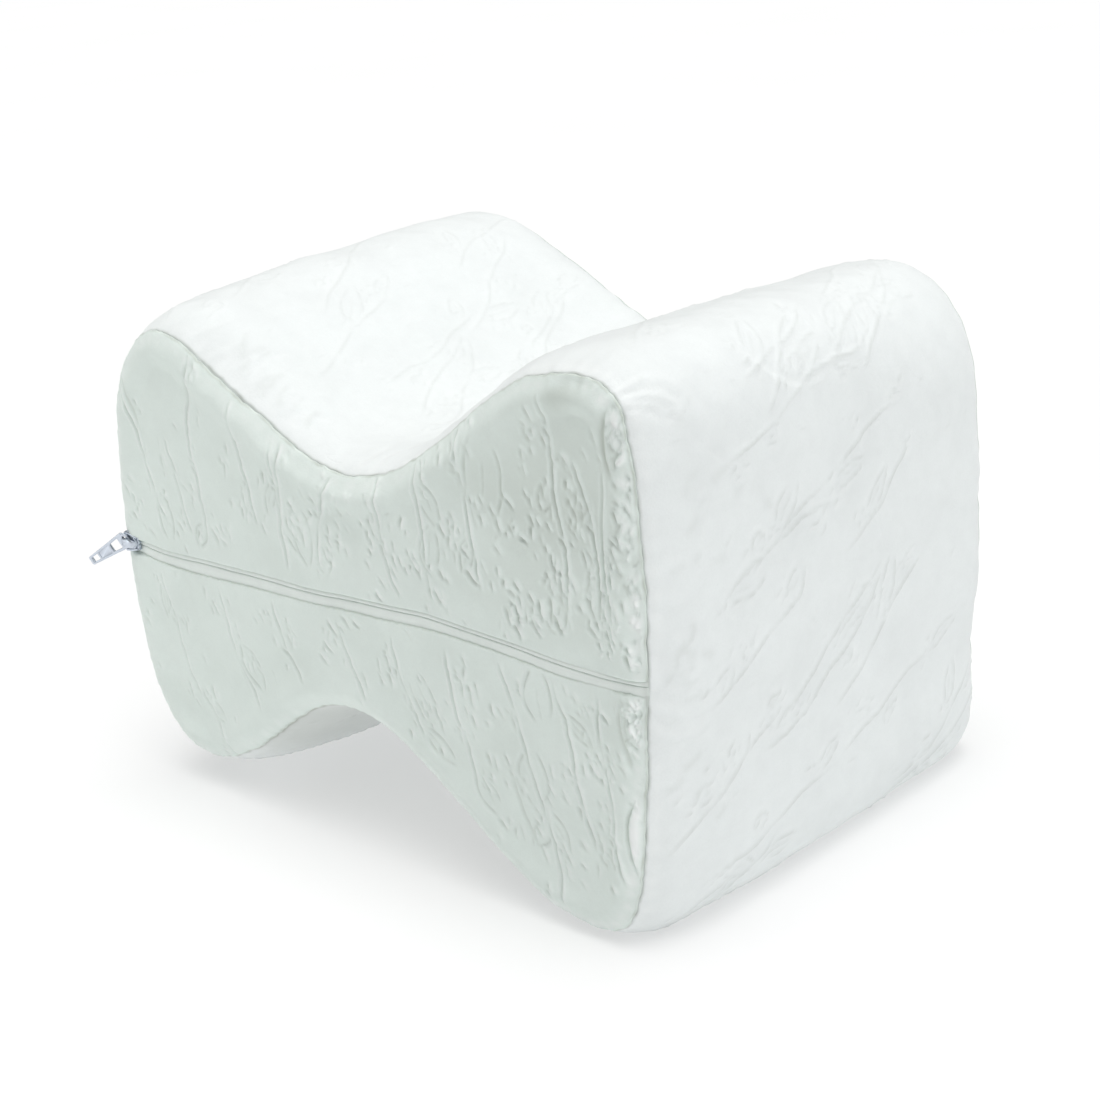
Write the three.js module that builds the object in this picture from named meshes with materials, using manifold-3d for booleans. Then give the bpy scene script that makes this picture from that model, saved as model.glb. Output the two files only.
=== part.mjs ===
// Knee pillow: an hourglass foam spacer in a zipped velour cover, standing on its two lower lobes.
// Millimetres, +Z up. X runs across the two lobes, Y along the saddles; the zipped end panel faces -Y.
// The origin is the middle of the bounding box's base, with the zip pull counted.
import * as THREE from "three";
import { mergeVertices } from "three/addons/utils/BufferGeometryUtils.js";
import Module from "manifold-3d";

const wasm = await Module();
wasm.setup();

// ---- driving dimensions ----
const HALF_WIDTH = 126; // middle plane to the left side face; the right one lies RIGHT_SLACK nearer
const RIGHT_SLACK = 1;
const BODY_HALF_DEPTH = 87; // filled body, half its depth between the end panels' backs, at the seam
const STAND_HEIGHT = 89.6; // floor to the middle of the section; the lower crests are pressed flat there
const SADDLE_TOP = 47.2; // middle of the section up to the top saddle
const SADDLE_BOTTOM = 45.8; // middle of the section down to the bottom saddle
const RIM_INSET = 4.2; // how far the band draws in at the end seams
const RIM_LENGTH = 17; // over this depth
const CROWN = 3.2; // how far each end face swells at its middle
const GAP = 0.3; // between neighbouring pieces
const CLOTH = 1.8; // thickness of an end panel with its pile
const ZIP_HALF = 3.5; // half the height of the slot between the panel halves
const ZIP_Z = -0.4; // middle line of the slot, from the middle of the section
const ZIP_DIP = { depth: 2.3, at: -97, reach: 19 }; // where it sags a little before it rises to the slider
const ZIP_CLOSURE = 0.9; // the closure line lies this far above the slot's middle
const TAPE_THICK = 0.9;
const SLIDER_X = -115; // middle of the slider
const SLIDER = { length: 9.4, height: 7.8, plate: 1.5, post: 1.1, window: 2.0, bar: 1.1, bridge: 1.8 };
const PULL = { length: 24, width: 7.6, tip: 4.8, thick: 1.1, root: 1.2, side: 0.95, window: 6.4, tipHole: 2.1, tipAt: 20.6 };
const PULL_TIP = new THREE.Vector3(-135.4, -97.8, -8.8); // where the tab's end lies, from the middle of the section
const ORIGIN_X = 5.75, ORIGIN_Y = 3.12; // bring the box's middle to X = 0 and Y = 0

// The lobes' corners at both ends and half way. crestX: lobe crest from the middle plane, crestZ: crest from the
// middle height, shoulderX and shoulderZ: where the corner runs into the side face, square: corner fullness
// (2 is an ellipse). The foam is uneven: the near left lobe is the roundest, the lower right one the fullest.
const LOBES = [
  { end: "front", side: "right", level: "top", crestX: 99, crestZ: 91.6, shoulderX: 124.2, shoulderZ: 60, square: 2.4 },
  { end: "front", side: "left", level: "top", crestX: 88, crestZ: 85.6, shoulderX: 123.2, shoulderZ: 37, square: 2.0 },
  { end: "front", side: "left", level: "bottom", crestX: 87, crestZ: 84.0, shoulderX: 124.4, shoulderZ: 38, square: 2.2 },
  { end: "front", side: "right", level: "bottom", crestX: 93, crestZ: 90.4, shoulderX: 120.9, shoulderZ: 49, square: 2.6 },
  { end: "middle", side: "right", level: "top", crestX: 97, crestZ: 92.2, shoulderX: 125.0, shoulderZ: 50, square: 2.2 },
  { end: "middle", side: "left", level: "top", crestX: 93, crestZ: 90.2, shoulderX: 124.6, shoulderZ: 41, square: 2.0 },
  { end: "middle", side: "left", level: "bottom", crestX: 92, crestZ: 91.0, shoulderX: 125.0, shoulderZ: 41, square: 2.2 },
  { end: "middle", side: "right", level: "bottom", crestX: 101, crestZ: 91.2, shoulderX: 124.4, shoulderZ: 50, square: 2.8 },
  { end: "back", side: "right", level: "top", crestX: 93, crestZ: 87.4, shoulderX: 124.0, shoulderZ: 39, square: 2.0 },
  { end: "back", side: "left", level: "top", crestX: 97, crestZ: 92.2, shoulderX: 124.0, shoulderZ: 43, square: 2.1 },
  { end: "back", side: "left", level: "bottom", crestX: 93, crestZ: 90.6, shoulderX: 124.4, shoulderZ: 41, square: 2.2 },
  { end: "back", side: "right", level: "bottom", crestX: 102, crestZ: 91.0, shoulderX: 123.6, shoulderZ: 47, square: 2.7 },
];
const QUARTERS = [
  { side: "right", level: "top", sx: 1, sz: 1 },
  { side: "left", level: "top", sx: -1, sz: 1 },
  { side: "left", level: "bottom", sx: -1, sz: -1 },
  { side: "right", level: "bottom", sx: 1, sz: -1 },
];
const WAVE_STEPS = 9; // saddle middle to crest
const CORNER_STEPS = 7; // crest to shoulder
const SIDE_STEPS = 3; // shoulder to mid height

const lerp = (a, b, t) => a + (b - a) * t;
const lobe = (end, q) => LOBES.find((r) => r.end === end && r.side === q.side && r.level === q.level);

// A quarter's corner values at a depth y, on a parabola through the front, middle and back rows.
function cornerAt(q, y) {
  const f = lobe("front", q), m = lobe("middle", q), b = lobe("back", q), t = y / BODY_HALF_DEPTH;
  const at = (key) => m[key] + ((b[key] - f[key]) / 2) * t + ((b[key] + f[key]) / 2 - m[key]) * t * t;
  return {
    crestX: at("crestX"), crestZ: at("crestZ"), shoulderX: at("shoulderX"), shoulderZ: at("shoulderZ"),
    square: at("square"),
  };
}

// One quarter of the section from the side face's middle to the saddle's middle: straight side with a slight bow,
// rounded shoulder, crest, then a cosine flank down to the saddle.
function quarter(q, y) {
  const c = cornerAt(q, y), saddle = q.sz > 0 ? SADDLE_TOP : SADDLE_BOTTOM, pts = [];
  const sideX = q.sx > 0 ? HALF_WIDTH - RIGHT_SLACK : HALF_WIDTH;
  for (let i = 0; i < SIDE_STEPS; i++) {
    const z = (c.shoulderZ * i) / SIDE_STEPS;
    pts.push([sideX - (sideX - c.shoulderX) * (z / c.shoulderZ) ** 2, z]);
  }
  for (let i = 0; i < CORNER_STEPS; i++) {
    const a = (Math.PI / 2) * (i / CORNER_STEPS), p = 2 / c.square;
    pts.push([
      c.crestX + (c.shoulderX - c.crestX) * Math.cos(a) ** p,
      c.shoulderZ + (c.crestZ - c.shoulderZ) * Math.sin(a) ** p,
    ]);
  }
  for (let i = 0; i <= WAVE_STEPS; i++) {
    const x = c.crestX * (1 - i / WAVE_STEPS);
    pts.push([x, saddle + (c.crestZ - saddle) * Math.sin((Math.PI / 2) * (x / c.crestX)) ** 2]);
  }
  return pts.map(([x, z]) => [q.sx * x, q.sz * z]);
}

// The whole section at depth y, anticlockwise as seen from the front, drawn in by inset along its normals
// and pressed flat on the floor.
function section(y, inset) {
  const ring = [];
  QUARTERS.forEach((q, k) => {
    const pts = quarter(q, y);
    if (k % 2) pts.reverse();
    ring.push(...pts.slice(0, -1));
  });
  const n = ring.length;
  return ring.map(([x, z], i) => {
    const [ax, az] = ring[(i + n - 1) % n], [bx, bz] = ring[(i + 1) % n];
    const dx = bx - ax, dz = bz - az, l = Math.hypot(dx, dz);
    return [x - (dz / l) * inset, Math.max(z + (dx / l) * inset, -STAND_HEIGHT)];
  });
}

// How far the band is drawn in at a distance from the end seam.
function rimInset(fromEnd) {
  const k = Math.max(0, 1 - fromEnd / RIM_LENGTH);
  return RIM_INSET * (1 - Math.sqrt(1 - k * k));
}
const endSection = { "-1": section(-BODY_HALF_DEPTH, RIM_INSET), "1": section(BODY_HALF_DEPTH, RIM_INSET) };

// The crown of an end face over the point that lies a share t of the way from its middle to the seam.
const crown = (t) => CROWN * (1 - t * t);

// Rings of equal length, joined into a closed surface; first and last rings are closed by a fan to a centre point.
function loft(rings, firstCentre, lastCentre) {
  const n = rings[0].length, pos = [], idx = [];
  rings.forEach((r) => r.forEach((p) => pos.push(...p)));
  for (let k = 0; k + 1 < rings.length; k++)
    for (let i = 0; i < n; i++) {
      const a = k * n + i, b = k * n + ((i + 1) % n), c = a + n, d = b + n;
      idx.push(a, c, b, b, c, d);
    }
  const first = pos.length / 3, last = first + 1, base = (rings.length - 1) * n;
  pos.push(...firstCentre, ...lastCentre);
  for (let i = 0; i < n; i++) {
    idx.push(first, i, (i + 1) % n);
    idx.push(last, base + ((i + 1) % n), base + i);
  }
  const g = new THREE.BufferGeometry();
  g.setAttribute("position", new THREE.BufferAttribute(new Float32Array(pos), 3));
  g.setIndex(idx);
  return g;
}

// ---- filled body ----
const FACE_RINGS = [0.3, 0.55, 0.76, 0.92, 1]; // shares of the end face, middle to seam
const RIM_STATIONS = [0.9, 2.4, 4.8, 8.2, 12.2, 17];
function bodyGeometry() {
  const rings = [];
  const face = (s) => (t) => endSection[s].map(([x, z]) => [x * t, s * (BODY_HALF_DEPTH + crown(t)), z * t]);
  FACE_RINGS.forEach((t) => rings.push(face(-1)(t)));
  const ys = [
    ...RIM_STATIONS.map((d) => -BODY_HALF_DEPTH + d), -35, 0, 35,
    ...RIM_STATIONS.map((d) => BODY_HALF_DEPTH - d).reverse(),
  ];
  ys.forEach((y) => rings.push(section(y, rimInset(BODY_HALF_DEPTH - Math.abs(y))).map(([x, z]) => [x, y, z])));
  [...FACE_RINGS].reverse().forEach((t) => rings.push(face(1)(t)));
  const tip = BODY_HALF_DEPTH + CROWN;
  return loft(rings, [0, -tip, 0], [0, tip, 0]);
}

// ---- end panels ----
// A cloth sheet of one thickness that lies on an end face, as wide as the seam.
const PANEL_RINGS = [0.3, 0.55, 0.76, 0.92, 1];
function panelGeometry(s) {
  const at = (t, lift) => endSection[s].map(([x, z]) => [x * t, s * (BODY_HALF_DEPTH + GAP + lift + crown(t)), z * t]);
  const outer = PANEL_RINGS.map((t) => at(t, CLOTH)), inner = PANEL_RINGS.map((t) => at(t, 0)).reverse();
  const rings = [...outer, ...inner];
  const g = loft(
    s < 0 ? rings : [...rings].reverse(),
    [0, s * (BODY_HALF_DEPTH + GAP + CROWN + (s < 0 ? CLOTH : 0)), 0],
    [0, s * (BODY_HALF_DEPTH + GAP + CROWN + (s < 0 ? 0 : CLOTH)), 0],
  );
  return g;
}

// ---- joining and cutting ----
function solid(geometry) {
  const g = geometry.index ? geometry.toNonIndexed() : geometry.clone();
  g.deleteAttribute("normal");
  g.deleteAttribute("uv");
  const m = mergeVertices(g, 1e-4);
  return new wasm.Manifold(
    new wasm.Mesh({
      numProp: 3,
      vertProperties: new Float32Array(m.attributes.position.array),
      triVerts: new Uint32Array(m.index.array),
    }),
  );
}
function geometryOf(manifold) {
  const mesh = manifold.getMesh(), g = new THREE.BufferGeometry();
  const pos = new Float32Array(mesh.numVert * 3);
  for (let i = 0; i < mesh.numVert; i++)
    pos.set(mesh.vertProperties.subarray(i * mesh.numProp, i * mesh.numProp + 3), i * 3);
  g.setAttribute("position", new THREE.BufferAttribute(pos, 3));
  g.setIndex(new THREE.BufferAttribute(new Uint32Array(mesh.triVerts), 1));
  return g;
}

// ---- zip ----
const zipZ = (x) => ZIP_Z - ZIP_DIP.depth * Math.exp(-(((x - ZIP_DIP.at) / ZIP_DIP.reach) ** 2));
// The slot's edges wander a little, as the cloth's fold does.
const upperEdge = (x) => zipZ(x) + ZIP_HALF + 0.35 * Math.sin(x / 17 + 0.6);
const lowerEdge = (x) => zipZ(x) - ZIP_HALF - 0.4 * Math.sin(x / 13 - 0.9);
const SLOT_STEPS = 30;
function slotGeometry(top, bottom) {
  const shape = new THREE.Shape(), reach = HALF_WIDTH + 15;
  const xs = Array.from({ length: SLOT_STEPS + 1 }, (_, i) => lerp(-reach, reach, i / SLOT_STEPS));
  xs.forEach((x, i) => (i ? shape.lineTo(x, top(x)) : shape.moveTo(x, top(x))));
  [...xs].reverse().forEach((x) => shape.lineTo(x, bottom(x)));
  const g = new THREE.ExtrudeGeometry(shape, { depth: 40, bevelEnabled: false });
  g.rotateX(Math.PI / 2); // shape's Y becomes Z, its depth runs along -Y
  g.translate(0, -BODY_HALF_DEPTH + 20, 0);
  return g;
}
// The front end face's half width at mid height bounds the tapes.
const TAPE_END = HALF_WIDTH - RIM_INSET - 1.2, TAPE_RIGHT = TAPE_END - RIGHT_SLACK;
const frontShare = (x) => Math.min(1, Math.abs(x) / (HALF_WIDTH - RIM_INSET));
function tapeGeometry(top, bottom) {
  const rings = [];
  for (let i = 0; i <= SLOT_STEPS; i++) {
    const x = lerp(-TAPE_END, TAPE_RIGHT, i / SLOT_STEPS);
    const y = -(BODY_HALF_DEPTH + GAP + crown(frontShare(x)) + 0.05), o = y - TAPE_THICK;
    rings.push([[x, y, bottom(x)], [x, o, bottom(x)], [x, o, top(x)], [x, y, top(x)]]);
  }
  const mid = (r) => [r[0][0], (r[0][1] + r[1][1]) / 2, (r[0][2] + r[3][2]) / 2];
  return loft(rings, mid(rings[0]), mid(rings[SLOT_STEPS]));
}

// Slider: a plate over the tapes and a bridge that holds the pull.
function roundedPlate(length, height, r) {
  const s = new THREE.Shape(), a = length / 2, b = height / 2;
  s.moveTo(-a + r, -b).lineTo(a - r, -b).absarc(a - r, -b + r, r, -Math.PI / 2, 0);
  s.lineTo(a, b - r).absarc(a - r, b - r, r, 0, Math.PI / 2);
  s.lineTo(-a + r, b).absarc(-a + r, b - r, r, Math.PI / 2, Math.PI);
  s.lineTo(-a, -b + r).absarc(-a + r, -b + r, r, Math.PI, 1.5 * Math.PI);
  return s;
}
const SLIDER_BACK = -(BODY_HALF_DEPTH + GAP + CLOTH + GAP + crown(frontShare(SLIDER_X + SLIDER.length / 2))) - 0.1;
const SLIDER_Z = zipZ(SLIDER_X) + 0.9;
function sliderGeometry() {
  const s = SLIDER;
  const plate = new THREE.ExtrudeGeometry(roundedPlate(s.length, s.height, 2.4), {
    depth: s.plate, bevelEnabled: false, curveSegments: 5,
  });
  plate.rotateX(Math.PI / 2);
  const arch = new THREE.Shape(), half = s.length / 2 - 1.5, rise = s.window + s.bar;
  arch.moveTo(-half, 0).lineTo(half, 0).lineTo(half, rise * 0.55).lineTo(half - 1.2, rise);
  arch.lineTo(-half + 1.2, rise).lineTo(-half, rise * 0.55).lineTo(-half, 0);
  const win = new THREE.Path();
  win.moveTo(-half + s.post, 0.4).lineTo(-half + s.post, s.window * 0.8).lineTo(-half + s.post + 0.5, s.window);
  win.lineTo(half - s.post - 0.5, s.window).lineTo(half - s.post, s.window * 0.8).lineTo(half - s.post, 0.4);
  win.lineTo(-half + s.post, 0.4);
  arch.holes.push(win);
  const bridge = new THREE.ExtrudeGeometry(arch, { depth: s.bridge, bevelEnabled: false });
  // the arch's height runs outwards, its depth along Z; its foot sinks 0.4 into the plate
  bridge.applyMatrix4(new THREE.Matrix4().makeBasis(
    new THREE.Vector3(1, 0, 0), new THREE.Vector3(0, -1, 0), new THREE.Vector3(0, 0, -1),
  ));
  bridge.translate(0, -s.plate + 0.4, s.bridge / 2);
  const g = geometryOf(solid(plate).add(solid(bridge)));
  g.translate(SLIDER_X, SLIDER_BACK, SLIDER_Z);
  return g;
}

// Pull: a flat tab whose root bar lies in the bridge's window, with a large window and a small square hole.
function pullGeometry() {
  const p = PULL, w = p.width / 2, s = new THREE.Shape();
  const rootW = w, tipW = p.tip / 2, half = (x) => lerp(rootW, tipW, x / p.length);
  s.moveTo(0, -rootW + 0.8).lineTo(0.8, -rootW).lineTo(p.length - 1.6, -tipW).lineTo(p.length, -tipW + 1.6);
  s.lineTo(p.length, tipW - 1.6).lineTo(p.length - 1.6, tipW).lineTo(0.8, rootW).lineTo(0, rootW - 0.8).lineTo(0, -rootW + 0.8);
  const win = new THREE.Path(), far = p.root + p.window, h = half(p.root) - p.side, f = half(far) - p.side;
  win.moveTo(p.root, -h).lineTo(p.root, h).lineTo(far, f).lineTo(far, -f).lineTo(p.root, -h);
  const hole = new THREE.Path(), q = p.tipHole / 2;
  hole.moveTo(p.tipAt - q, -q).lineTo(p.tipAt - q, q).lineTo(p.tipAt + q, q).lineTo(p.tipAt + q, -q).lineTo(p.tipAt - q, -q);
  s.holes.push(win, hole);
  const g = new THREE.ExtrudeGeometry(s, { depth: p.thick, bevelEnabled: false });
  g.translate(0, 0, -p.thick / 2);
  const root = new THREE.Vector3(
    SLIDER_X + 0.6, SLIDER_BACK - SLIDER.plate - SLIDER.window / 2 + 0.2, SLIDER_Z,
  );
  const along = PULL_TIP.clone().sub(root).normalize();
  const across = new THREE.Vector3().crossVectors(new THREE.Vector3(0, -1, 0), along).normalize();
  const out = new THREE.Vector3().crossVectors(along, across);
  g.applyMatrix4(new THREE.Matrix4().makeBasis(along, across, out));
  g.translate(root.x, root.y, root.z);
  return g;
}

// ---- the group ----
const velour = new THREE.MeshStandardMaterial({ color: 0xdfe6e2, roughness: 0.9, metalness: 0 });
const velourEnd = new THREE.MeshStandardMaterial({ color: 0xd5dcd7, roughness: 0.9, metalness: 0 });
const tape = new THREE.MeshStandardMaterial({ color: 0xe9ece9, roughness: 0.8, metalness: 0 });
const zinc = new THREE.MeshStandardMaterial({ color: 0x9aa3a8, roughness: 0.35, metalness: 1 });

const group = new THREE.Group();
function add(name, geometry, material) {
  geometry.computeVertexNormals();
  const mesh = new THREE.Mesh(geometry, material);
  mesh.name = name;
  mesh.position.set(ORIGIN_X, ORIGIN_Y, STAND_HEIGHT);
  group.add(mesh);
}

add("filled_body", bodyGeometry(), velour);
const front = solid(panelGeometry(-1));
const above = slotGeometry(() => HALF_WIDTH + 20, lowerEdge);
const below = slotGeometry(upperEdge, () => -HALF_WIDTH - 20);
add("end_panel_zip_upper", geometryOf(front.subtract(solid(below))), velourEnd);
add("end_panel_zip_lower", geometryOf(front.subtract(solid(above))), velourEnd);
add("end_panel_far", panelGeometry(1), velourEnd);
const closure = (x) => zipZ(x) + ZIP_CLOSURE;
add("zip_tape_upper", tapeGeometry((x) => upperEdge(x) - GAP, (x) => closure(x) + GAP / 2), tape);
add("zip_tape_lower", tapeGeometry((x) => closure(x) - GAP / 2, (x) => lowerEdge(x) + GAP), tape);
add("zip_slider", sliderGeometry(), zinc);
add("zip_pull", pullGeometry(), zinc);

export default group;
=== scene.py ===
import math

import bmesh
import bpy
import numpy as np
from mathutils import Matrix, Vector, kdtree


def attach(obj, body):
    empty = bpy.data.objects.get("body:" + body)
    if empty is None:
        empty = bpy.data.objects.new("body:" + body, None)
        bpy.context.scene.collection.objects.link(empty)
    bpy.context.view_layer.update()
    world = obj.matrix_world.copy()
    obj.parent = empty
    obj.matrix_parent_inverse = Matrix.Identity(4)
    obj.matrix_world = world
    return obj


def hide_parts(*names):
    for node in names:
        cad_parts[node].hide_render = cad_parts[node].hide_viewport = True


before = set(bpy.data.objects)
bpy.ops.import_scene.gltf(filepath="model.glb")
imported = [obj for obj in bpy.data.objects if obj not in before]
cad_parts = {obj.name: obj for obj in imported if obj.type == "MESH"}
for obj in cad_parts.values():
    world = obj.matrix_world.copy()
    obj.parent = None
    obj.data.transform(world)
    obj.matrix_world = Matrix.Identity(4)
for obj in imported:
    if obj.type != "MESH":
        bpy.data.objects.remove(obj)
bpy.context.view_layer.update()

# ---------------------------------------------------------------- sizes, as in the CAD source
ORIGIN = np.array([5.75, 3.12, 89.6])
STAND = 89.6
HALF_WIDTH, RIGHT_SLACK = 126.0, 1.0
HALF_DEPTH = 87.0
SADDLE_TOP, SADDLE_BOTTOM = 47.2, 45.8
RIM_INSET, RIM_LENGTH = 4.2, 17.0
CROWN = 3.2
GAP, CLOTH = 0.3, 1.8

# end, side, level: crestX, crestZ, shoulderX, shoulderZ, square
LOBES = {
    ("front", "right", "top"): (99, 91.6, 124.2, 60, 2.4),
    ("front", "left", "top"): (88, 85.6, 123.2, 37, 2.0),
    ("front", "left", "bottom"): (87, 84.0, 124.4, 38, 2.2),
    ("front", "right", "bottom"): (93, 90.4, 120.9, 49, 2.6),
    ("middle", "right", "top"): (97, 92.2, 125.0, 50, 2.2),
    ("middle", "left", "top"): (93, 90.2, 124.6, 41, 2.0),
    ("middle", "left", "bottom"): (92, 91.0, 125.0, 41, 2.2),
    ("middle", "right", "bottom"): (101, 91.2, 124.4, 50, 2.8),
    ("back", "right", "top"): (93, 87.4, 124.0, 39, 2.0),
    ("back", "left", "top"): (97, 92.2, 124.0, 43, 2.1),
    ("back", "left", "bottom"): (93, 90.6, 124.4, 41, 2.2),
    ("back", "right", "bottom"): (102, 91.0, 123.6, 47, 2.7),
}
QUARTERS = (("right", "top", 1, 1), ("left", "top", -1, 1), ("left", "bottom", -1, -1), ("right", "bottom", 1, -1))


def corner_at(side, level, y):
    f, m, b = (np.array(LOBES[(e, side, level)], float) for e in ("front", "middle", "back"))
    t = y / HALF_DEPTH
    return m + (b - f) / 2 * t + ((b + f) / 2 - m) * t * t


def resample(points, n):
    """n points at even steps along a polyline, both ends kept."""
    step = np.hypot(*np.diff(points, axis=0).T)
    s = np.concatenate([[0], np.cumsum(step)])
    want = np.linspace(0, s[-1], n)
    return np.stack([np.interp(want, s, points[:, 0]), np.interp(want, s, points[:, 1])], 1)


N_SIDE, N_CORNER, N_FLANK = 94, 122, 214  # about half a millimetre a step


def quarter(side, level, sx, sz, y):
    crest_x, crest_z, shoulder_x, shoulder_z, square = corner_at(side, level, y)
    saddle = SADDLE_TOP if sz > 0 else SADDLE_BOTTOM
    side_x = HALF_WIDTH - (RIGHT_SLACK if sx > 0 else 0)
    z = np.linspace(0, shoulder_z, 40)
    flat = np.stack([side_x - (side_x - shoulder_x) * (z / shoulder_z) ** 2, z], 1)
    a = np.linspace(0, math.pi / 2, 240)
    p = 2 / square
    bend = np.stack(
        [crest_x + (shoulder_x - crest_x) * np.maximum(np.cos(a), 0) ** p, shoulder_z + (crest_z - shoulder_z) * np.sin(a) ** p], 1
    )
    x = np.linspace(crest_x, 0, 120)
    flank = np.stack([x, saddle + (crest_z - saddle) * np.sin(math.pi / 2 * x / crest_x) ** 2], 1)
    pts = np.concatenate([resample(flat, N_SIDE)[:-1], resample(bend, N_CORNER)[:-1], resample(flank, N_FLANK)])
    return pts * [sx, sz]


def soften(ring, sigma):
    """A closed ring blurred along itself by sigma steps."""
    k = np.fft.rfftfreq(len(ring))
    g = np.exp(-2 * (math.pi * k * sigma) ** 2)
    return np.stack([np.fft.irfft(np.fft.rfft(ring[:, c]) * g, len(ring)) for c in (0, 1)], 1)


def fine_ring(y):
    parts = []
    for k, q in enumerate(QUARTERS):
        p = quarter(*q, y)
        if k % 2:
            p = p[::-1]
        parts.append(p[:-1])
    return soften(np.concatenate(parts), 6)


def ring_normals(ring):
    d = np.roll(ring, -1, 0) - np.roll(ring, 1, 0)
    d /= np.hypot(*d.T)[:, None]
    return np.stack([d[:, 1], -d[:, 0]], 1)


def rim_inset(d):
    k = np.clip(1 - d / RIM_LENGTH, 0, 1)
    return RIM_INSET * (0.72 * k ** 2.3 + 0.28 * (1 - np.sqrt(1 - k * k)))


def crown(t):
    return CROWN * (1 - np.clip(t, 0, 1) ** 2)


RING_N = len(fine_ring(0))
_mid = fine_ring(0)
RING_S = np.concatenate([[0], np.cumsum(np.hypot(*np.diff(np.vstack([_mid, _mid[:1]]), axis=0).T))])
LENGTH = RING_S[-1]  # once round the band
RING_S = RING_S[:-1]

# ---------------------------------------------------------------- smooth random waves, seeded


class Waves:
    """A sum of plane waves with lengths between short and long; about -1 to 1."""

    def __init__(self, seed, short, long, n=14, period=None):
        r = np.random.default_rng(seed)
        lam = np.exp(r.uniform(math.log(short), math.log(long), n))
        ang = r.uniform(0, 2 * math.pi, n)
        self.k = np.stack([np.cos(ang), np.sin(ang)], 1) * (2 * math.pi / lam)[:, None]
        if period:  # whole waves once round
            base = 2 * math.pi / period
            self.k[:, 0] = np.round(self.k[:, 0] / base) * base
        self.p = r.uniform(0, 2 * math.pi, n)
        self.n = n

    def __call__(self, u, v):
        out = np.zeros(np.broadcast(u, v).shape)
        for (a, b), p in zip(self.k, self.p):
            out += np.sin(a * u + b * v + p)
        return out / math.sqrt(self.n) * 0.75


def bump(d, width):
    return np.exp(-((d / width) ** 2))


def around(s, at):
    """Distance round the band from s to at."""
    return (s - at + LENGTH / 2) % LENGTH - LENGTH / 2


def profile(pairs, sigma=6.0):
    """Values given at places round the band, joined and smoothed; one for each ring point."""
    at, val = np.array(pairs, float).T
    v = np.interp(RING_S, at, val, period=LENGTH)
    k = np.fft.rfftfreq(RING_N, LENGTH / RING_N)
    return np.fft.irfft(np.fft.rfft(v) * np.exp(-2 * (math.pi * k * sigma) ** 2), RING_N)


# How the stuffed shape strays from the plain sections: outward offset at places round the band, about a depth.
NUDGES = (
    (-87, 55, profile(((350, 0), (380, 2.2), (455, 2.4), (480, 0.8), (500, 0)))),
    (-87, 22, profile(((318, 0), (338, -1.6), (352, -0.6), (362, 0)))),
    (-87, 30, profile(((486, 0), (508, 0.2), (526, -1.0), (545, -2.9), (565, -3.6), (590, -4.2), (610, -5.0), (628, -2.6), (642, 0.6), (656, 3.0), (672, 3.8), (692, 3.4), (722, 2.8), (745, 1.2), (768, 0)), 5)),
    (20, 75, profile(((76, 0), (92, -2.2), (118, -2.5), (136, 0)))),
    (92, 26, profile(((276, 0), (298, -1.5), (318, -0.8), (335, 0)))),
    (92, 30, profile(((192, 0), (212, 2.4), (235, 4.2), (258, 3.0), (280, 0)))),
    (88, 34, profile(((742, 0), (764, 1.3), (778, 0.6), (790, -1.5), (803, -2.2), (815, -1.2), (828, 0)), 4)),
)


def shaped_ring(y):
    """The section's outline at a depth and its outward normals."""
    ring = fine_ring(y)
    n = ring_normals(ring)
    out = sum(v * math.exp(-(((y - depth) / reach) ** 2)) for depth, reach, v in NUDGES)
    ring = ring + n * np.asarray(out)[:, None]
    return ring, ring_normals(ring)


# How far inside the outline each end's seam lies, at places round the band.
SEAM_INSET = {
    -1: profile(((0, 5.6), (6, 5.5), (16, 4.8), (30, 5.1), (48, 5.4), (54, 5.7), (61, 6.8), (69, 6.2), (78, 4.9), (92, 5.1), (112, 5.0), (121, 5.1),
                 (129, 4.2), (170, 4.8), (216, 5.2), (252, 5.5), (262, 6.4), (275, 8.2), (290, 8.8), (304, 8.0), (318, 6.6), (332, 4.9), (338, 4.5),
                 (350, 4.6), (400, 4.6), (760, 4.8), (766, 5.5), (777, 7.4), (795, 7.1), (804, 6.1), (824, 6.6), (844, 6.3), (849, 7.1)), 2.5),
    1: profile(((0, 4.6), (400, 4.8)), 4),
}
_seam_waver = {-1: Waves(11, 14, 46, 10, LENGTH), 1: Waves(12, 22, 60, 8, LENGTH)}
_seam_fine = {-1: Waves(13, 3.6, 9, 12, LENGTH), 1: Waves(14, 6, 11, 8, LENGTH)}


def seam_waver(end):
    s = RING_S
    return 0.24 * _seam_waver[end](s, 0 * s) + 0.24 * _seam_fine[end](s, 0 * s)


def outline(end):
    """The end seam's line: ring points drawn in from the outline."""
    ring, n = shaped_ring(end * HALF_DEPTH)
    r = ring - n * (SEAM_INSET[end] - seam_waver(end))[:, None]
    r[:, 1] = np.maximum(r[:, 1], -STAND + 0.05)
    return r


# ---------------------------------------------------------------- embossed relief, drawn in flat millimetres


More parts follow.
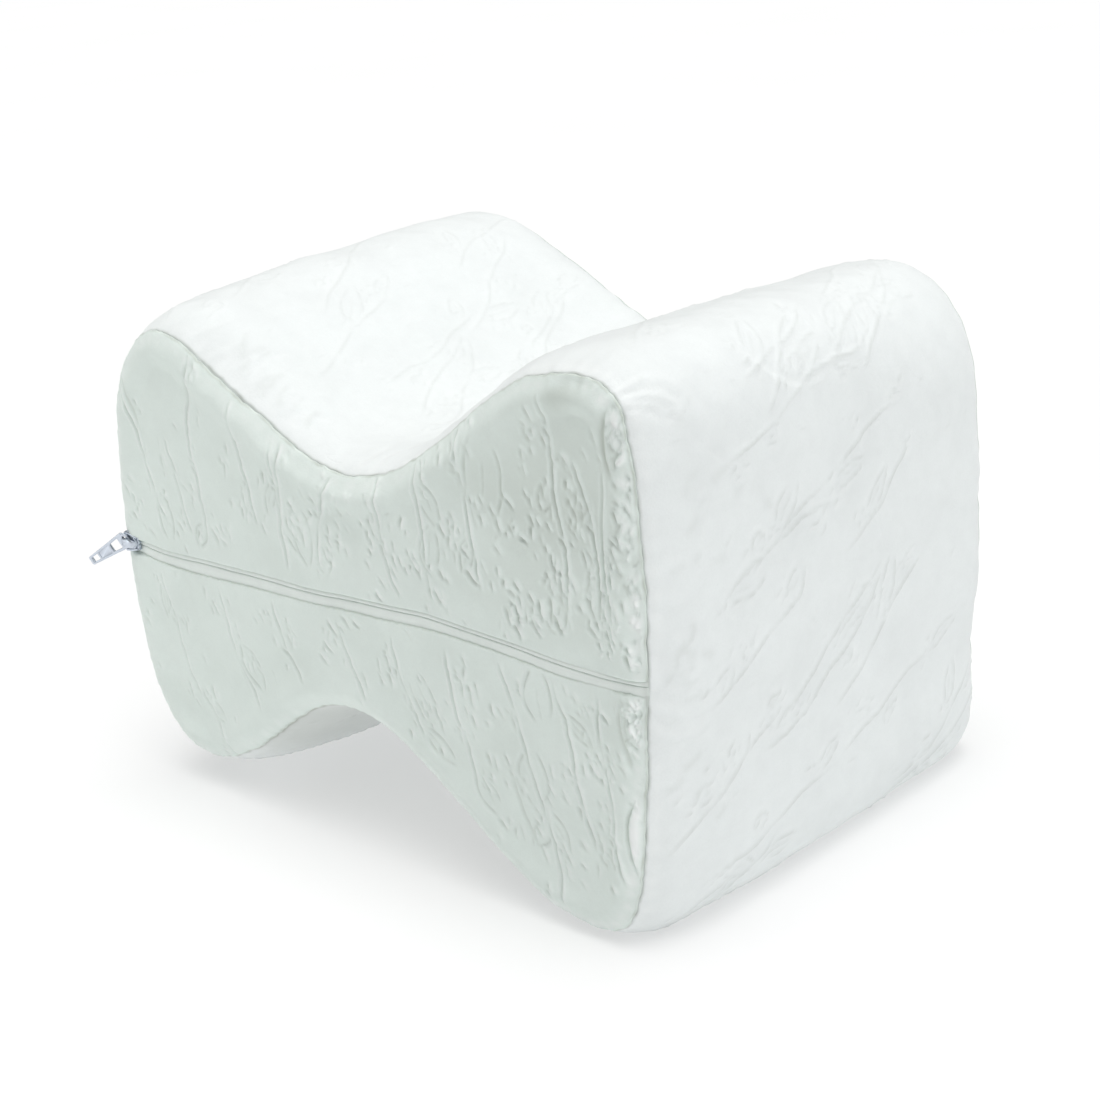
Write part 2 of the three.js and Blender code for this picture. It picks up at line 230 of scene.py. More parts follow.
class Relief:
    """Troughs and ridges on a fine grid over a flat rectangle; wraps round in u when told."""

    def __init__(self, u0, u1, v0, v1, step, wrap=False):
        self.u0, self.v0, self.wrap = u0, v0, wrap
        self.nu = int(round((u1 - u0) / step))
        self.su = (u1 - u0) / self.nu
        self.nv = int(round((v1 - v0) / step)) + 1
        self.sv = (v1 - v0) / (self.nv - 1)
        self.trough = np.zeros((self.nv, self.nu), np.float32)
        self.ridge = np.zeros((self.nv, self.nu), np.float32)

    def stamp(self, field, path, width, depth):
        path = np.asarray(path, float)
        n = max(2, int(np.hypot(*np.diff(path, axis=0).T).sum() / (self.su * 0.6)) + 1)
        t = np.linspace(0, 1, len(path))
        w = np.linspace(0, 1, n)
        u, v = np.interp(w, t, path[:, 0]), np.interp(w, t, path[:, 1])
        depth = np.interp(w, np.linspace(0, 1, np.size(depth)), np.atleast_1d(depth)) if np.size(depth) > 1 else np.full(n, float(depth))
        r = int(math.ceil(2.3 * width / self.su))
        o = np.arange(-r, r + 1)
        ci, cj = np.floor((u - self.u0) / self.su).astype(int), np.floor((v - self.v0) / self.sv).astype(int)
        ii = ci[:, None, None] + o[None, None, :]
        jj = cj[:, None, None] + o[None, :, None]
        du = self.u0 + (ii + 0.5) * self.su - u[:, None, None]
        dv = self.v0 + jj * self.sv - v[:, None, None]
        val = depth[:, None, None] * np.exp(-(du * du + dv * dv) / (width * width))
        ii, jj = np.broadcast_arrays(ii, jj)
        ok = (jj >= 0) & (jj < self.nv)
        if self.wrap:
            ii = ii % self.nu
        else:
            ok &= (ii >= 0) & (ii < self.nu)
        np.maximum.at(field.ravel(), (jj * self.nu + ii)[ok], val[ok].astype(np.float32))

    def groove(self, path, width=0.5, depth=0.3, lip=0.4, side=1, rng=None, taper=0.12):
        """A pressed line: a trough with a low ridge along one side, fading in and out."""
        path = np.asarray(path, float)
        n = 40
        w = np.linspace(0, 1, n)
        fade = np.clip(np.minimum(w, 1 - w) / taper, 0, 1) ** 0.7
        if rng is not None:
            for _ in range(3):
                fade = fade * (1 - rng.uniform(0.2, 0.75) * np.exp(-(((w - rng.uniform(0, 1)) / rng.uniform(0.03, 0.12)) ** 2)))
        self.stamp(self.trough, path, width, depth * fade)
        if lip:
            d = np.gradient(path, axis=0)
            d /= np.maximum(np.hypot(*d.T), 1e-9)[:, None]
            off = np.stack([-d[:, 1], d[:, 0]], 1) * side * width * 1.9
            self.stamp(self.ridge, path + off, width * 1.15, depth * lip * fade)
            self.stamp(self.ridge, path - off * 0.95, width * 1.0, depth * lip * 0.45 * fade)

    def height(self, u, v):
        fu = (u - self.u0) / self.su - 0.5
        fv = np.clip((v - self.v0) / self.sv, 0, self.nv - 1.001)
        i, j = np.floor(fu).astype(int), np.floor(fv).astype(int)
        a, b = fu - i, fv - j
        i1 = i + 1
        if self.wrap:
            i, i1 = i % self.nu, i1 % self.nu
        else:
            i, i1 = np.clip(i, 0, self.nu - 1), np.clip(i1, 0, self.nu - 1)
        j1 = np.minimum(j + 1, self.nv - 1)
        out = []
        for f in (self.trough, self.ridge):
            out.append((f[j, i] * (1 - a) + f[j, i1] * a) * (1 - b) + (f[j1, i] * (1 - a) + f[j1, i1] * a) * b)
        return out


def walk(u, v, heading, length, wobble, bend, rng, n=90):
    t = np.linspace(0, 1, n)
    l1, l2 = rng.uniform(30, 62), rng.uniform(11, 19)
    a = heading + bend * (t - 0.5) + wobble * (
        np.sin(2 * math.pi * (t * length / l1 + rng.uniform())) + 0.45 * np.sin(2 * math.pi * (t * length / l2 + rng.uniform()))
    )
    step = length / (n - 1)
    pu = u + np.concatenate([[0], np.cumsum(np.cos(a[:-1]) * step)])
    pv = v + np.concatenate([[0], np.cumsum(np.sin(a[:-1]) * step)])
    return np.stack([pu, pv], 1)


def leaf(rel, base, heading, length, half, rng, width, depth):
    """A pointed leaf: two bowed sides, each only partly pressed, and a short vein."""
    t = np.linspace(0, 1, 30)
    along = np.array([math.cos(heading), math.sin(heading)])
    across = np.array([-along[1], along[0]])
    curl = rng.uniform(-0.25, 0.25) * length
    for side in (1, -1):
        a, b = (rng.uniform(0, 0.12), rng.uniform(0.82, 1)) if rng.random() < 0.75 else (rng.uniform(0.1, 0.4), rng.uniform(0.6, 0.9))
        tt = a + (b - a) * t
        w = side * half * np.sin(math.pi * tt) ** 0.85 * (1.15 - 0.35 * tt) + curl * tt * tt
        rel.groove(base + along * (length * tt)[:, None] + across * w[:, None], width, depth, 0.4, side, rng)
    tt = 0.15 + 0.5 * t
    w = curl * tt * tt
    rel.groove(base + along * (length * tt)[:, None] + across * w[:, None], width * 0.8, depth * 0.5, 0.3, 1, rng)


def dash(rel, u, v, heading, length, width, depth, rng):
    """One pressed dash: broad and deep where it starts, running out thin, the pile heaped beside it."""
    p = walk(u, v, heading, length, 0.0, rng.uniform(-0.8, 0.8), rng, 10)
    t = np.linspace(0, 1, 10)
    for k in range(3):
        a, b = k * 3, k * 3 + 4
        w = width * (1.15 - 0.28 * k)
        rel.stamp(rel.trough, p[a:b], w, depth * np.interp(t[a:b], (0, 0.15, 0.5, 1), (0.6, 1.0, 0.85, 0.25)))
    d = p[-1] - p[0]
    d = d / max(np.hypot(*d), 1e-9)
    off = np.array([-d[1], d[0]]) * width * 1.9
    rel.stamp(rel.ridge, p[:8] + off, width * 1.3, depth * 0.80 * np.interp(t[:8], (0, 0.4, 1), (0.7, 1.0, 0.3)))
    rel.stamp(rel.ridge, p[:7] - off * 0.9, width * 1.0, depth * 0.25 * np.interp(t[:7], (0, 0.4, 1), (0.6, 1.0, 0.3)))


def marks(rel, centre, heading, n, spread, rng, width, depth, longest=4.6):
    """A cluster of short dashes that mostly slant the same way."""
    for _ in range(n):
        c = centre + rng.normal(0, spread, 2) * [1, 1.3]
        l = rng.uniform(1.0, longest) * (0.75 if rng.random() < 0.5 else 1.0)
        dash(rel, c[0], c[1], heading + rng.normal(0, 0.27), l, width * rng.uniform(0.8, 1.25), depth * rng.uniform(0.45, 1.1), rng)


def curl(rel, centre, radius, start, sweep, rng, width, depth):
    a = start + np.linspace(0, 1, 30) * sweep
    r = radius * (1 - 0.45 * np.linspace(0, 1, 30))
    p = centre + np.stack([np.cos(a) * r, np.sin(a) * r * 1.25], 1)
    rel.groove(p, width, depth, 0.4, 1, rng)


def vine(rel, u, v, heading, length, wobble, bend, rng, width=0.5, depth=0.3, every=15.0, leaves=0.5, size=15.0):
    """A winding stem with leaves, curls and clusters of small marks beside it."""
    path = walk(u, v, math.radians(heading), length, wobble, math.radians(bend), rng)
    rel.groove(path, width, depth, 0.4, rng.choice([-1, 1]), rng)
    d = np.gradient(path, axis=0)
    d /= np.hypot(*d.T)[:, None]
    count = int(length / every)
    for k in range(count):
        i = min(len(path) - 1, int((k + rng.uniform(0.15, 0.85)) / max(count, 1) * (len(path) - 1)))
        h = math.atan2(d[i, 1], d[i, 0])
        side = rng.choice([-1, 1])
        off = np.array([-d[i, 1], d[i, 0]]) * side
        if rng.random() < leaves:
            leaf(rel, path[i] + off * rng.uniform(0.5, 2.5), h + side * rng.uniform(0.25, 0.7), size * rng.uniform(0.6, 1.35), size * rng.uniform(0.14, 0.26), rng, width * 0.95, depth * 0.85)
        elif rng.random() < 0.3:
            curl(rel, path[i] + off * rng.uniform(3, 7), rng.uniform(2.0, 3.8), rng.uniform(0, 6.28), rng.uniform(3.2, 5.6) * side, rng, width, depth * 0.8)
        marks(rel, path[i] + off * rng.uniform(2.0, 6.5), h, rng.integers(3, 9), rng.uniform(1.2, 3.0), rng, width * 0.95, depth)


# Stems on the near end face, x and z where each starts, its heading in degrees, length, wobble and bend.
FRONT_STEMS = (
    {"x": -113, "z": 58, "heading": -69, "length": 50, "wobble": 0.10, "bend": 12},
    {"x": -90, "z": 42, "heading": -72, "length": 34, "wobble": 0.12, "bend": -10},
    {"x": -72, "z": 74, "heading": -88, "length": 66, "wobble": 0.14, "bend": 26},
    {"x": -52, "z": 60, "heading": -77, "length": 42, "wobble": 0.14, "bend": 10},
    {"x": -33, "z": 50, "heading": -86, "length": 44, "wobble": 0.08, "bend": 6},
    {"x": -29, "z": 49, "heading": -90, "length": 40, "wobble": 0.08, "bend": 4},
    {"x": -6, "z": 41, "heading": -100, "length": 32, "wobble": 0.16, "bend": 24},
    {"x": 15, "z": 46, "heading": -76, "length": 40, "wobble": 0.12, "bend": 10},
    {"x": 34, "z": 52, "heading": -84, "length": 44, "wobble": 0.12, "bend": 8},
    {"x": 53, "z": 66, "heading": -82, "length": 50, "wobble": 0.06, "bend": 5},
    {"x": 86, "z": 80, "heading": -84, "length": 70, "wobble": 0.08, "bend": -14},
    {"x": 97, "z": 62, "heading": -80, "length": 52, "wobble": 0.12, "bend": -16},
    {"x": 108, "z": 60, "heading": -88, "length": 46, "wobble": 0.10, "bend": 8},
    {"x": -104, "z": -9, "heading": -72, "length": 44, "wobble": 0.12, "bend": 12},
    {"x": -70, "z": -8, "heading": -68, "length": 46, "wobble": 0.14, "bend": 10},
    {"x": -40, "z": -7, "heading": -66, "length": 30, "wobble": 0.14, "bend": 14},
    {"x": -8, "z": -7, "heading": -70, "length": 28, "wobble": 0.12, "bend": -10},
    {"x": 18, "z": -7, "heading": -72, "length": 36, "wobble": 0.12, "bend": 12},
    {"x": 42, "z": -6, "heading": -78, "length": 44, "wobble": 0.10, "bend": 6},
    {"x": 64, "z": -5, "heading": -74, "length": 54, "wobble": 0.10, "bend": -16},
    {"x": 84, "z": -5, "heading": -78, "length": 56, "wobble": 0.12, "bend": -8},
    {"x": 101, "z": -8, "heading": -82, "length": 60, "wobble": 0.12, "bend": 6},
    {"x": -88, "z": -50, "heading": -62, "length": 30, "wobble": 0.12, "bend": 6},
    {"x": 78, "z": -48, "heading": -80, "length": 34, "wobble": 0.12, "bend": 10},
)


def front_relief():
    rng = np.random.default_rng(2041)
    rel = Relief(-130, 130, -96, 96, 0.22)
    for k, st in enumerate(FRONT_STEMS):
        # the pattern is pressed deeper towards the right of the face
        deep = np.interp(st["x"], (-120, -40, 40, 110), (0.95, 1.05, 1.15, 1.1)) * (1.0 if st["z"] > 0 else 0.8)
        path = walk(st["x"], st["z"], math.radians(st["heading"]), st["length"], st["wobble"], math.radians(st["bend"]), rng)
        path = path + np.stack([0.16 * Waves(500 + k, 2.5, 8, 8)(path[:, 1], 0 * path[:, 1]), 0 * path[:, 1]], 1)
        rel.groove(path, 0.56, 0.80 * deep, 0.90, 1, rng, 0.10)
        d = np.gradient(path, axis=0)
        d /= np.hypot(*d.T)[:, None]
        n = max(2, int(st["length"] / (11.0 if st["x"] > -25 else 17.0)))
        for j in range(n):
            i = min(len(path) - 1, int((j + rng.uniform(0.1, 0.9)) / n * (len(path) - 1)))
            side = rng.choice([-1, 1])
            off = np.array([-d[i, 1], d[i, 0]]) * side
            h = math.atan2(d[i, 1], d[i, 0])
            if rng.random() < 0.30:
                leaf(rel, path[i] + off * rng.uniform(0.5, 2.0), h + side * rng.uniform(0.2, 0.6), rng.uniform(9, 19), rng.uniform(2.0, 4.2), rng, 0.54, 0.60 * deep)
            marks(rel, path[i] + off * rng.uniform(2.5, 6.0), math.radians(-66), rng.integers(2, 7), rng.uniform(1.4, 3.2), rng, 0.62, 1.00 * deep, 5.6)
    # loose leaves and clusters between the stems; the last two figures are how many dashes and how deep
    for x, z, h, l, w in ((62, 34, 84, 36, 7.5), (26, -14, -74, 26, 5), (80, -24, 98, 22, 5.5), (-98, 22, -70, 20, 4), (-22, 30, -80, 22, 4.5), (40, 34, -96, 18, 4), (-60, -26, -60, 20, 4), (74, -50, 80, 20, 6)):
        leaf(rel, np.array([x, z], float), math.radians(h), l, w, rng, 0.54, 0.62)
    for x, z, n, deep in ((-112, 14, 9, 0.7), (-88, 11, 10, 0.6), (-62, 13, 9, 0.7), (-46, 24, 8, 0.7), (-20, 24, 8, 0.8), (-4, 18, 9, 0.9), (12, 26, 9, 1.0), (26, 20, 9, 1.1), (40, 14, 9, 1.1),
                          (48, 36, 8, 1.1), (52, 56, 7, 1.0), (70, 16, 15, 1.35), (80, 12, 13, 1.35), (90, 26, 11, 1.2), (72, 40, 9, 1.2), (84, 48, 9, 1.15), (80, 60, 6, 1.0), (98, 42, 7, 0.9), (104, 24, 8, 1.1),
                          (110, 12, 12, 1.2), (112, 34, 9, 1.0), (114, 52, 8, 0.9), (-96, -22, 7, 0.6), (-66, -24, 7, 0.6), (-40, -16, 7, 0.7), (-14, -18, 6, 0.8), (12, -20, 8, 0.9), (30, -30, 9, 0.9),
                          (50, -22, 7, 0.9), (66, -40, 7, 0.9), (88, -34, 7, 0.8), (96, -56, 9, 0.9), (80, -66, 7, 0.8), (104, -30, 11, 0.9), (60, -62, 6, 0.7), (106, -44, 6, 0.8)):
        marks(rel, np.array([x, z], float), math.radians(-66), n, 3.4, rng, 0.64, 1.00 * deep, 5.8)
    # a scatter of faint single dashes
    for _ in range(105):
        dash(rel, rng.uniform(-118, 116), rng.uniform(-72, 72), math.radians(-66) + rng.normal(0, 0.35), rng.uniform(1.6, 5.0), rng.uniform(0.48, 0.75), rng.uniform(0.20, 0.50), rng)
    return rel


def band_relief():
    """u runs round the band, v along the depth. On the right side the stems climb gently towards the back."""
    rng = np.random.default_rng(977)
    rel = Relief(0, LENGTH, -92, 92, 0.4, wrap=True)
    rows = int(LENGTH / 17)
    for k in range(rows):
        u = (k + rng.uniform(0.1, 0.9)) * LENGTH / rows
        n = 2 if rng.random() < 0.8 else 1
        for j in range(n):
            v = rng.uniform(-88, -30) if j == 0 else rng.uniform(-5, 35)
            vine(rel, u + j * rng.uniform(-8, 8), v, rng.uniform(48, 74), rng.uniform(42, 82), 0.16, rng.uniform(-30, 30), rng, 0.74, 0.78, 17.0, 0.5, 17.0)
    for _ in range(260):
        dash(rel, rng.uniform(0, LENGTH), rng.uniform(-84, 84), math.radians(70) + rng.normal(0, 0.5), rng.uniform(1.5, 4.5), rng.uniform(0.6, 0.85), rng.uniform(0.16, 0.42), rng)
    return rel


def far_relief():
    rng = np.random.default_rng(431)
    rel = Relief(-130, 130, -96, 96, 0.4)
    for k in range(17):
        x = -118 + 14.5 * k + rng.uniform(-4, 4)
        for z in (rng.uniform(52, 78), rng.uniform(-12, 6)):
            vine(rel, x, z, rng.uniform(-98, -70), rng.uniform(38, 62), 0.14, rng.uniform(-20, 20), rng, 0.62, 0.32, 15.0, 0.4, 14.0)
    return rel


# ---------------------------------------------------------------- mesh helpers


def place(points):
    return (np.asarray(points, float) + ORIGIN) / 1000.0


def build(name, verts, faces, shade=None, smooth=True, fix=True):
    """A mesh object at the origin from millimetre points, faces wound outwards."""
    me = bpy.data.meshes.new(name)
    me.from_pydata(place(verts).tolist(), [], faces)
    if shade is not None:
        a = me.attributes.new("shade", "FLOAT", "POINT")
        a.data.foreach_set("value", np.asarray(shade, np.float32))
    if fix:
        bm = bmesh.new()
        bm.from_mesh(me)
        bmesh.ops.recalc_face_normals(bm, faces=bm.faces)
        bm.to_mesh(me)
        bm.free()
    me.validate()
    if smooth:
        me.polygons.foreach_set("use_smooth", np.ones(len(me.polygons), bool))
    ob = bpy.data.objects.new(name, me)
    bpy.context.scene.collection.objects.link(ob)
    return ob


def grid_faces(rows, cols, wrap=False, offset=0):
    i, j = np.meshgrid(np.arange(rows - 1), np.arange(cols if wrap else cols - 1), indexing="ij")
    a = i * cols + j
    b = i * cols + (j + 1) % cols
    return (np.stack([a, b, b + cols, a + cols], -1).reshape(-1, 4) + offset).tolist()


# ---------------------------------------------------------------- the band and its filling


def fold(path, width, height):
    return {"path": np.array(path, float), "width": width, "height": height}


# Soft tucks in the band, as (round, depth) points: by the near upper right corner, by the zip's end and a few more.
BAND_FOLDS = (
    fold([(82, -86), (80, -78), (74, -70), (68, -68)], 2.0, 0.55),
    fold([(79, -86), (76, -79), (71, -74)], 1.5, 0.40),
    fold([(75, -86), (72, -80), (66, -77)], 1.6, 0.38),
    fold([(86, -86), (87, -78), (83, -70), (76, -64)], 2.2, 0.35),
    fold([(-6, -86), (-12, -78), (-13, -68), (-7, -60)], 2.4, 0.40),
    fold([(-14, -86), (-20, -78), (-19, -70), (-13, -66)], 1.8, 0.42),
    fold([(-2, -86), (-5, -79), (-4, -72)], 1.5, 0.30),
    fold([(22, -86), (20, -76), (27, -62)], 2.6, 0.22),
    fold([(84, -36), (76, -31), (70, -22), (68, -12), (72, -2), (79, 8)], 1.6, 0.38),
    fold([(306, -86), (300, -76), (297, -66)], 1.8, 0.28),
    fold([(292, -86), (288, -77), (289, -70)], 1.6, 0.26),
    fold([(214, -86), (212, -74), (216, -62)], 1.8, 0.24),
    fold([(206, -86), (206, -77), (202, -68)], 1.5, 0.26),
    fold([(400, 86), (404, 76), (401, 66)], 2.0, 0.35),
    fold([(640, 86), (636, 78), (640, 66)], 2.0, 0.35),
)


# Places where the band is crinkled beside the near seam: round, depth, half widths, how many, how high.
BAND_CRINKLES = (
    (278, -79, 7.0, 3.2, 16, 0.34),
    (258, -79, 8.0, 3.0, 14, 0.32),
    (4, -77, 5.0, 4.5, 16, 0.42),
    (842, -77, 5.0, 4.5, 14, 0.42),
    (74, -78, 4.0, 4.0, 12, 0.36),
    (50, -52, 7.0, 10.0, 10, 0.26),
    (30, -70, 9.0, 6.0, 10, 0.26),
    (812, -74, 6.0, 6.0, 10, 0.32),
)


def build_band():
    fine = (np.arange(RING_N) + 0.0) / RING_N
    # columns: close together where the right side and the top show, wider on the left side and underneath
    size = np.where((RING_S < 392) | (RING_S > LENGTH - 112), 1.17, 2.6)
    size = np.convolve(np.concatenate([size[-20:], size, size[:20]]), np.ones(41) / 41, "valid")
    cum = np.concatenate([[0], np.cumsum((LENGTH / RING_N) / size)])
    cols = int(cum[-1])
    at = np.interp(np.arange(cols) * cum[-1] / cols, cum, np.arange(RING_N + 1))
    i0 = np.floor(at).astype(int) % RING_N
    i1 = (i0 + 1) % RING_N
    f = (at - np.floor(at))[:, None]
    s = RING_S[i0] + f[:, 0] * (LENGTH / RING_N)
    near = [0, 0.12, 0.35, 0.7, 1.15, 1.7, 2.4, 3.3, 4.4, 5.6, 6.8, 8.0]
    inner = np.linspace(-HALF_DEPTH + 9.2, HALF_DEPTH - 9.2, 132)
    ys = np.concatenate([-HALF_DEPTH + np.array(near), inner, HALF_DEPTH - np.array(near)[::-1]])
    base = np.zeros((len(ys), cols, 3))
    stray = {e: SEAM_INSET[e] - RIM_INSET for e in (-1, 1)}
    waver = {e: seam_waver(e) for e in (-1, 1)}
    for r, y in enumerate(ys):
        ring, n = shaped_ring(y)
        d = HALF_DEPTH - abs(y)
        end = -1 if y < 0 else 1
        p = ring - n * (rim_inset(d) + stray[end] * math.exp(-((d / 13.0) ** 1.3)) - waver[end] * math.exp(-d / 5.0))[:, None]
        q = p[i0] * (1 - f) + p[i1] * f
        base[r, :, 0], base[r, :, 1], base[r, :, 2] = q[:, 0], y, q[:, 1]
    ts = np.roll(base, -1, 1) - np.roll(base, 1, 1)
    ty = np.gradient(base, axis=0)
    nrm = np.cross(ts, ty)
    nrm /= np.maximum(np.linalg.norm(nrm, axis=2), 1e-9)[..., None]
    S, Y = np.meshgrid(s, ys)
    out = np.stack([S, Y], -1)
    d = HALF_DEPTH - np.abs(Y)
    edge = np.clip((d - 0.4) / 2.2, 0, 1)
    h = 0.42 * Waves(3, 30, 75, 14, LENGTH)(S, Y) + 0.15 * Waves(4, 9, 20, 16, LENGTH)(S, Y)
    # gathers along both seams
    gather = 0.16 + 0.14 * np.clip(Waves(5, 40, 90, 8, LENGTH)(S, 0 * Y), -1, 1.5)
    ripple = Waves(6, 4.6, 9.5, 12, LENGTH)(S + 0.12 * Y * np.sign(Y), 0.15 * Y)
    h += np.maximum(gather, 0.03) * ripple * np.exp(-d / 4.6)
    rel = band_relief()
    tr, rg = rel.height(S, Y)
    # the pattern is rubbed down on the upper faces
    worn = np.interp(S, (0, 60, 95, 400, 430, LENGTH), (1.0, 1.0, 0.5, 0.5, 0.8, 1.0))
    tr, rg = tr * worn, rg * worn
    fade = np.clip((d - 1.0) / 4.0, 0, 1)
    h += (0.55 * rg - tr) * fade
    extra = Relief(0, LENGTH, -92, 92, 0.5, wrap=True)
    for fo in BAND_FOLDS:
        p = fo["path"]
        t = np.linspace(0, 1, len(p))
        w = np.linspace(0, 1, 40)
        path = np.stack([np.interp(w, t, p[:, 0]), np.interp(w, t, p[:, 1])], 1)
        path = np.stack([np.convolve(np.pad(path[:, c], 4, "edge"), np.ones(9) / 9, "valid") for c in (0, 1)], 1)
        extra.stamp(extra.ridge, path, fo["width"], fo["height"] * np.clip((1 - w) / 0.5, 0, 1) ** 0.8)
        side = np.gradient(path, axis=0)
        side /= np.maximum(np.hypot(*side.T), 1e-9)[:, None]
        extra.stamp(extra.trough, path + np.stack([-side[:, 1], side[:, 0]], 1) * fo["width"] * 1.25, fo["width"] * 0.55, fo["height"] * 0.55 * np.clip((1 - w) / 0.5, 0, 1))
    rng = np.random.default_rng(88)
    for u, v, wide, high, n, much in BAND_CRINKLES:
        for k in range(n):
            c = np.array([u, v]) + rng.normal(0, 1, 2) * [wide, high]
            q = walk(c[0], c[1], rng.uniform(0.4, 2.2), rng.uniform(2.5, 6.0), 0.0, rng.uniform(-1.2, 1.2), rng, 10)
            extra.stamp(extra.ridge if k % 2 else extra.trough, q, rng.uniform(0.95, 1.5), much * rng.uniform(0.5, 1.1))
    et, er = extra.height(S, Y)
    h += (er - et)
    pos = base + nrm * (h * edge)[..., None]
    pos[..., 2] = np.maximum(pos[..., 2], -STAND)
    pos[..., 1] = np.clip(pos[..., 1], -HALF_DEPTH, HALF_DEPTH)
    # painted shade: a dark line in the seam's crease, and darker troughs in the pattern, folds and crinkles
    seam = np.clip(0.42 + 0.22 * Waves(94, 4.0, 13, 12, LENGTH)(S, 0 * S), 0.08, 0.8)
    shade = 1 - np.clip(seam * np.exp(-((d / 0.45) ** 2)) + 0.46 * (tr + et) * fade, 0, 0.8)
    # painted highlights on the pattern's ridges and along the near seam's roll
    shade = shade + np.clip(0.65 * (rg + 0.6 * er) * fade, 0, 0.5) + 0.5 * painted_rim_highlight(d, S) * (Y < 0)
    # painted shade on the cloth under the lower left lobe, beside the arch
    shade = shade - 0.46 * np.interp(S, (550, 578, 690, 725), (0, 1, 1, 0)) * np.exp(-(((Y + 87) / 60) ** 2))
    verts = [pos.reshape(-1, 3)]
    shades = [shade.ravel()]
    rows = len(ys)
    faces = grid_faces(rows, cols, wrap=True)
    count = rows * cols
    for sgn, row in ((-1, 0), (1, rows - 1)):
        prev = row * cols + np.arange(cols)
        ring = pos[row]
        for t in (0.9, 0.6, 0.28):
            r = ring * [t, 0, t]
            r[:, 1] = sgn * (HALF_DEPTH + crown(np.array(t)))
            verts.append(r)
            shades.append(np.full(cols, 0.9))
            cur = count + np.arange(cols)
            faces += np.stack([prev, np.roll(prev, -1), np.roll(cur, -1), cur], 1).tolist()
            prev, count = cur, count + cols
        verts.append(np.array([[0, sgn * (HALF_DEPTH + CROWN), 0]]))
        shades.append(np.array([0.9]))
        faces += [[int(a), int(b), count] for a, b in zip(prev, np.roll(prev, -1))]
        count += 1
    return build("padded_band", np.concatenate(verts), faces, np.concatenate(shades))


# ---------------------------------------------------------------- end panels


# The zip wanders up and down across the face. Height of the upper cloth edge and of the lower one along it.
UPPER_EDGE = ((-130, 0.8), (-121, 0.6), (-114, 0.3), (-103, -0.6), (-93, -0.4), (-83, 0.1), (-74, 0.6), (-62, 0.95), (-50, 1.35), (-37, 1.4), (-24.5, 1.4),
              (-12.5, 1.9), (-0.8, 2.9), (10.5, 3.1), (21.4, 3.45), (33, 4.3), (45.7, 3.4), (56, 2.7), (67, 2.2), (77, 1.2), (87, 0.1), (96, -0.35), (106, -0.8), (115, -0.3), (130, 0.4))
LOWER_EDGE = ((-130, -4.0), (-121, -4.2), (-116, -4.5), (-109, -5.5), (-99, -5.9), (-90, -6.0), (-80, -5.6), (-71, -5.4), (-60, -4.6), (-50, -4.3), (-38, -3.9), (-19, -3.6),
              (-1.5, -2.3), (10, -2.2), (21, -1.7), (31.5, -1.1), (43, -1.0), (50, -1.6), (61, -1.9), (71, -2.9), (81, -4.0), (91, -5.0), (101, -4.8), (110, -4.9), (130, -4.2))
_zx = np.arange(-130, 130.01, 0.5)
_zk = np.exp(-0.5 * (np.arange(-24, 25) / 8.0) ** 2)
_zk /= _zk.sum()
_zip = {k: np.convolve(np.pad(np.interp(_zx, *np.array(t, float).T), 24, "edge"), _zk, "valid") for k, t in (("up", UPPER_EDGE), ("low", LOWER_EDGE))}
_ragged = Waves(17, 2.4, 7.0, 14)


def upper_edge(x):
    return np.interp(x, _zx, _zip["up"]) + 0.03 * _ragged(x, 0 * x)


def lower_edge(x):
    return np.interp(x, _zx, _zip["low"]) + 0.13 * _ragged(x + 40, 0 * x)


def closure_line(x):
    """Where the two tapes meet."""
    return np.interp(x, _zx, _zip["up"]) - np.interp(x, (-120, 120), (1.75, 1.3)) + 0.05 * np.sin(x / 7.0)


_plain = {e: shaped_ring(e * HALF_DEPTH) for e in (-1, 1)}
_plain = {e: r - n * RIM_INSET for e, (r, n) in _plain.items()}
_polar = {}
for _e, _r in _plain.items():
    _a = np.arctan2(_r[:, 1], _r[:, 0])
    _o = np.argsort(_a)
    _polar[_e] = (_a[_o], np.hypot(*_r.T)[_o])


def share(x, z, end):
    """How far from the face's middle to its rim a point lies."""
    a, r = _polar[end]
    ang = np.arctan2(z, x)
    return np.hypot(x, z) / np.interp(ang, a, r, period=2 * math.pi)


class Rim:
    """Nearest point of a seam line, for distances and places round it."""

    def __init__(self, end):
        line = outline(end)
        n = len(line)
        k = np.linspace(0, n, n * 5, endpoint=False)
        i = np.floor(k).astype(int)
        f = (k - i)[:, None]
        pts = line[i] * (1 - f) + line[(i + 1) % n] * f
        self.s = RING_S[i] + f[:, 0] * (LENGTH / n)
        self.line = line
        self.tree = kdtree.KDTree(len(pts))
        for j, (a, b) in enumerate(pts):
            self.tree.insert((a, b, 0.0), j)
        self.tree.balance()

    def __call__(self, x, z):
        shape = np.shape(x)
        d, s = np.zeros(np.size(x)), np.zeros(np.size(x))
        for m, (a, b) in enumerate(zip(np.ravel(x), np.ravel(z))):
            _, j, dist = self.tree.find((a, b, 0.0))
            d[m], s[m] = dist, self.s[j]
        return d.reshape(shape), s.reshape(shape)


# Where the cloth is crushed into small crinkles beside the right seam: x, z, half width, half height, how many, how high.
FRONT_TUFTS = (
    (115.8, 72.0, 2.3, 5.2, 58, 1.0),
    (115.4, -12.5, 2.2, 5.0, 44, 0.8),
    (116.8, 34.0, 1.3, 17.0, 40, 0.65),
    (114.6, -46.0, 1.6, 12.0, 22, 0.5),
    (108.0, 22.0, 4.0, 9.0, 18, 0.5),
    (-2.0, 36.0, 9.0, 5.0, 16, 0.45),
)
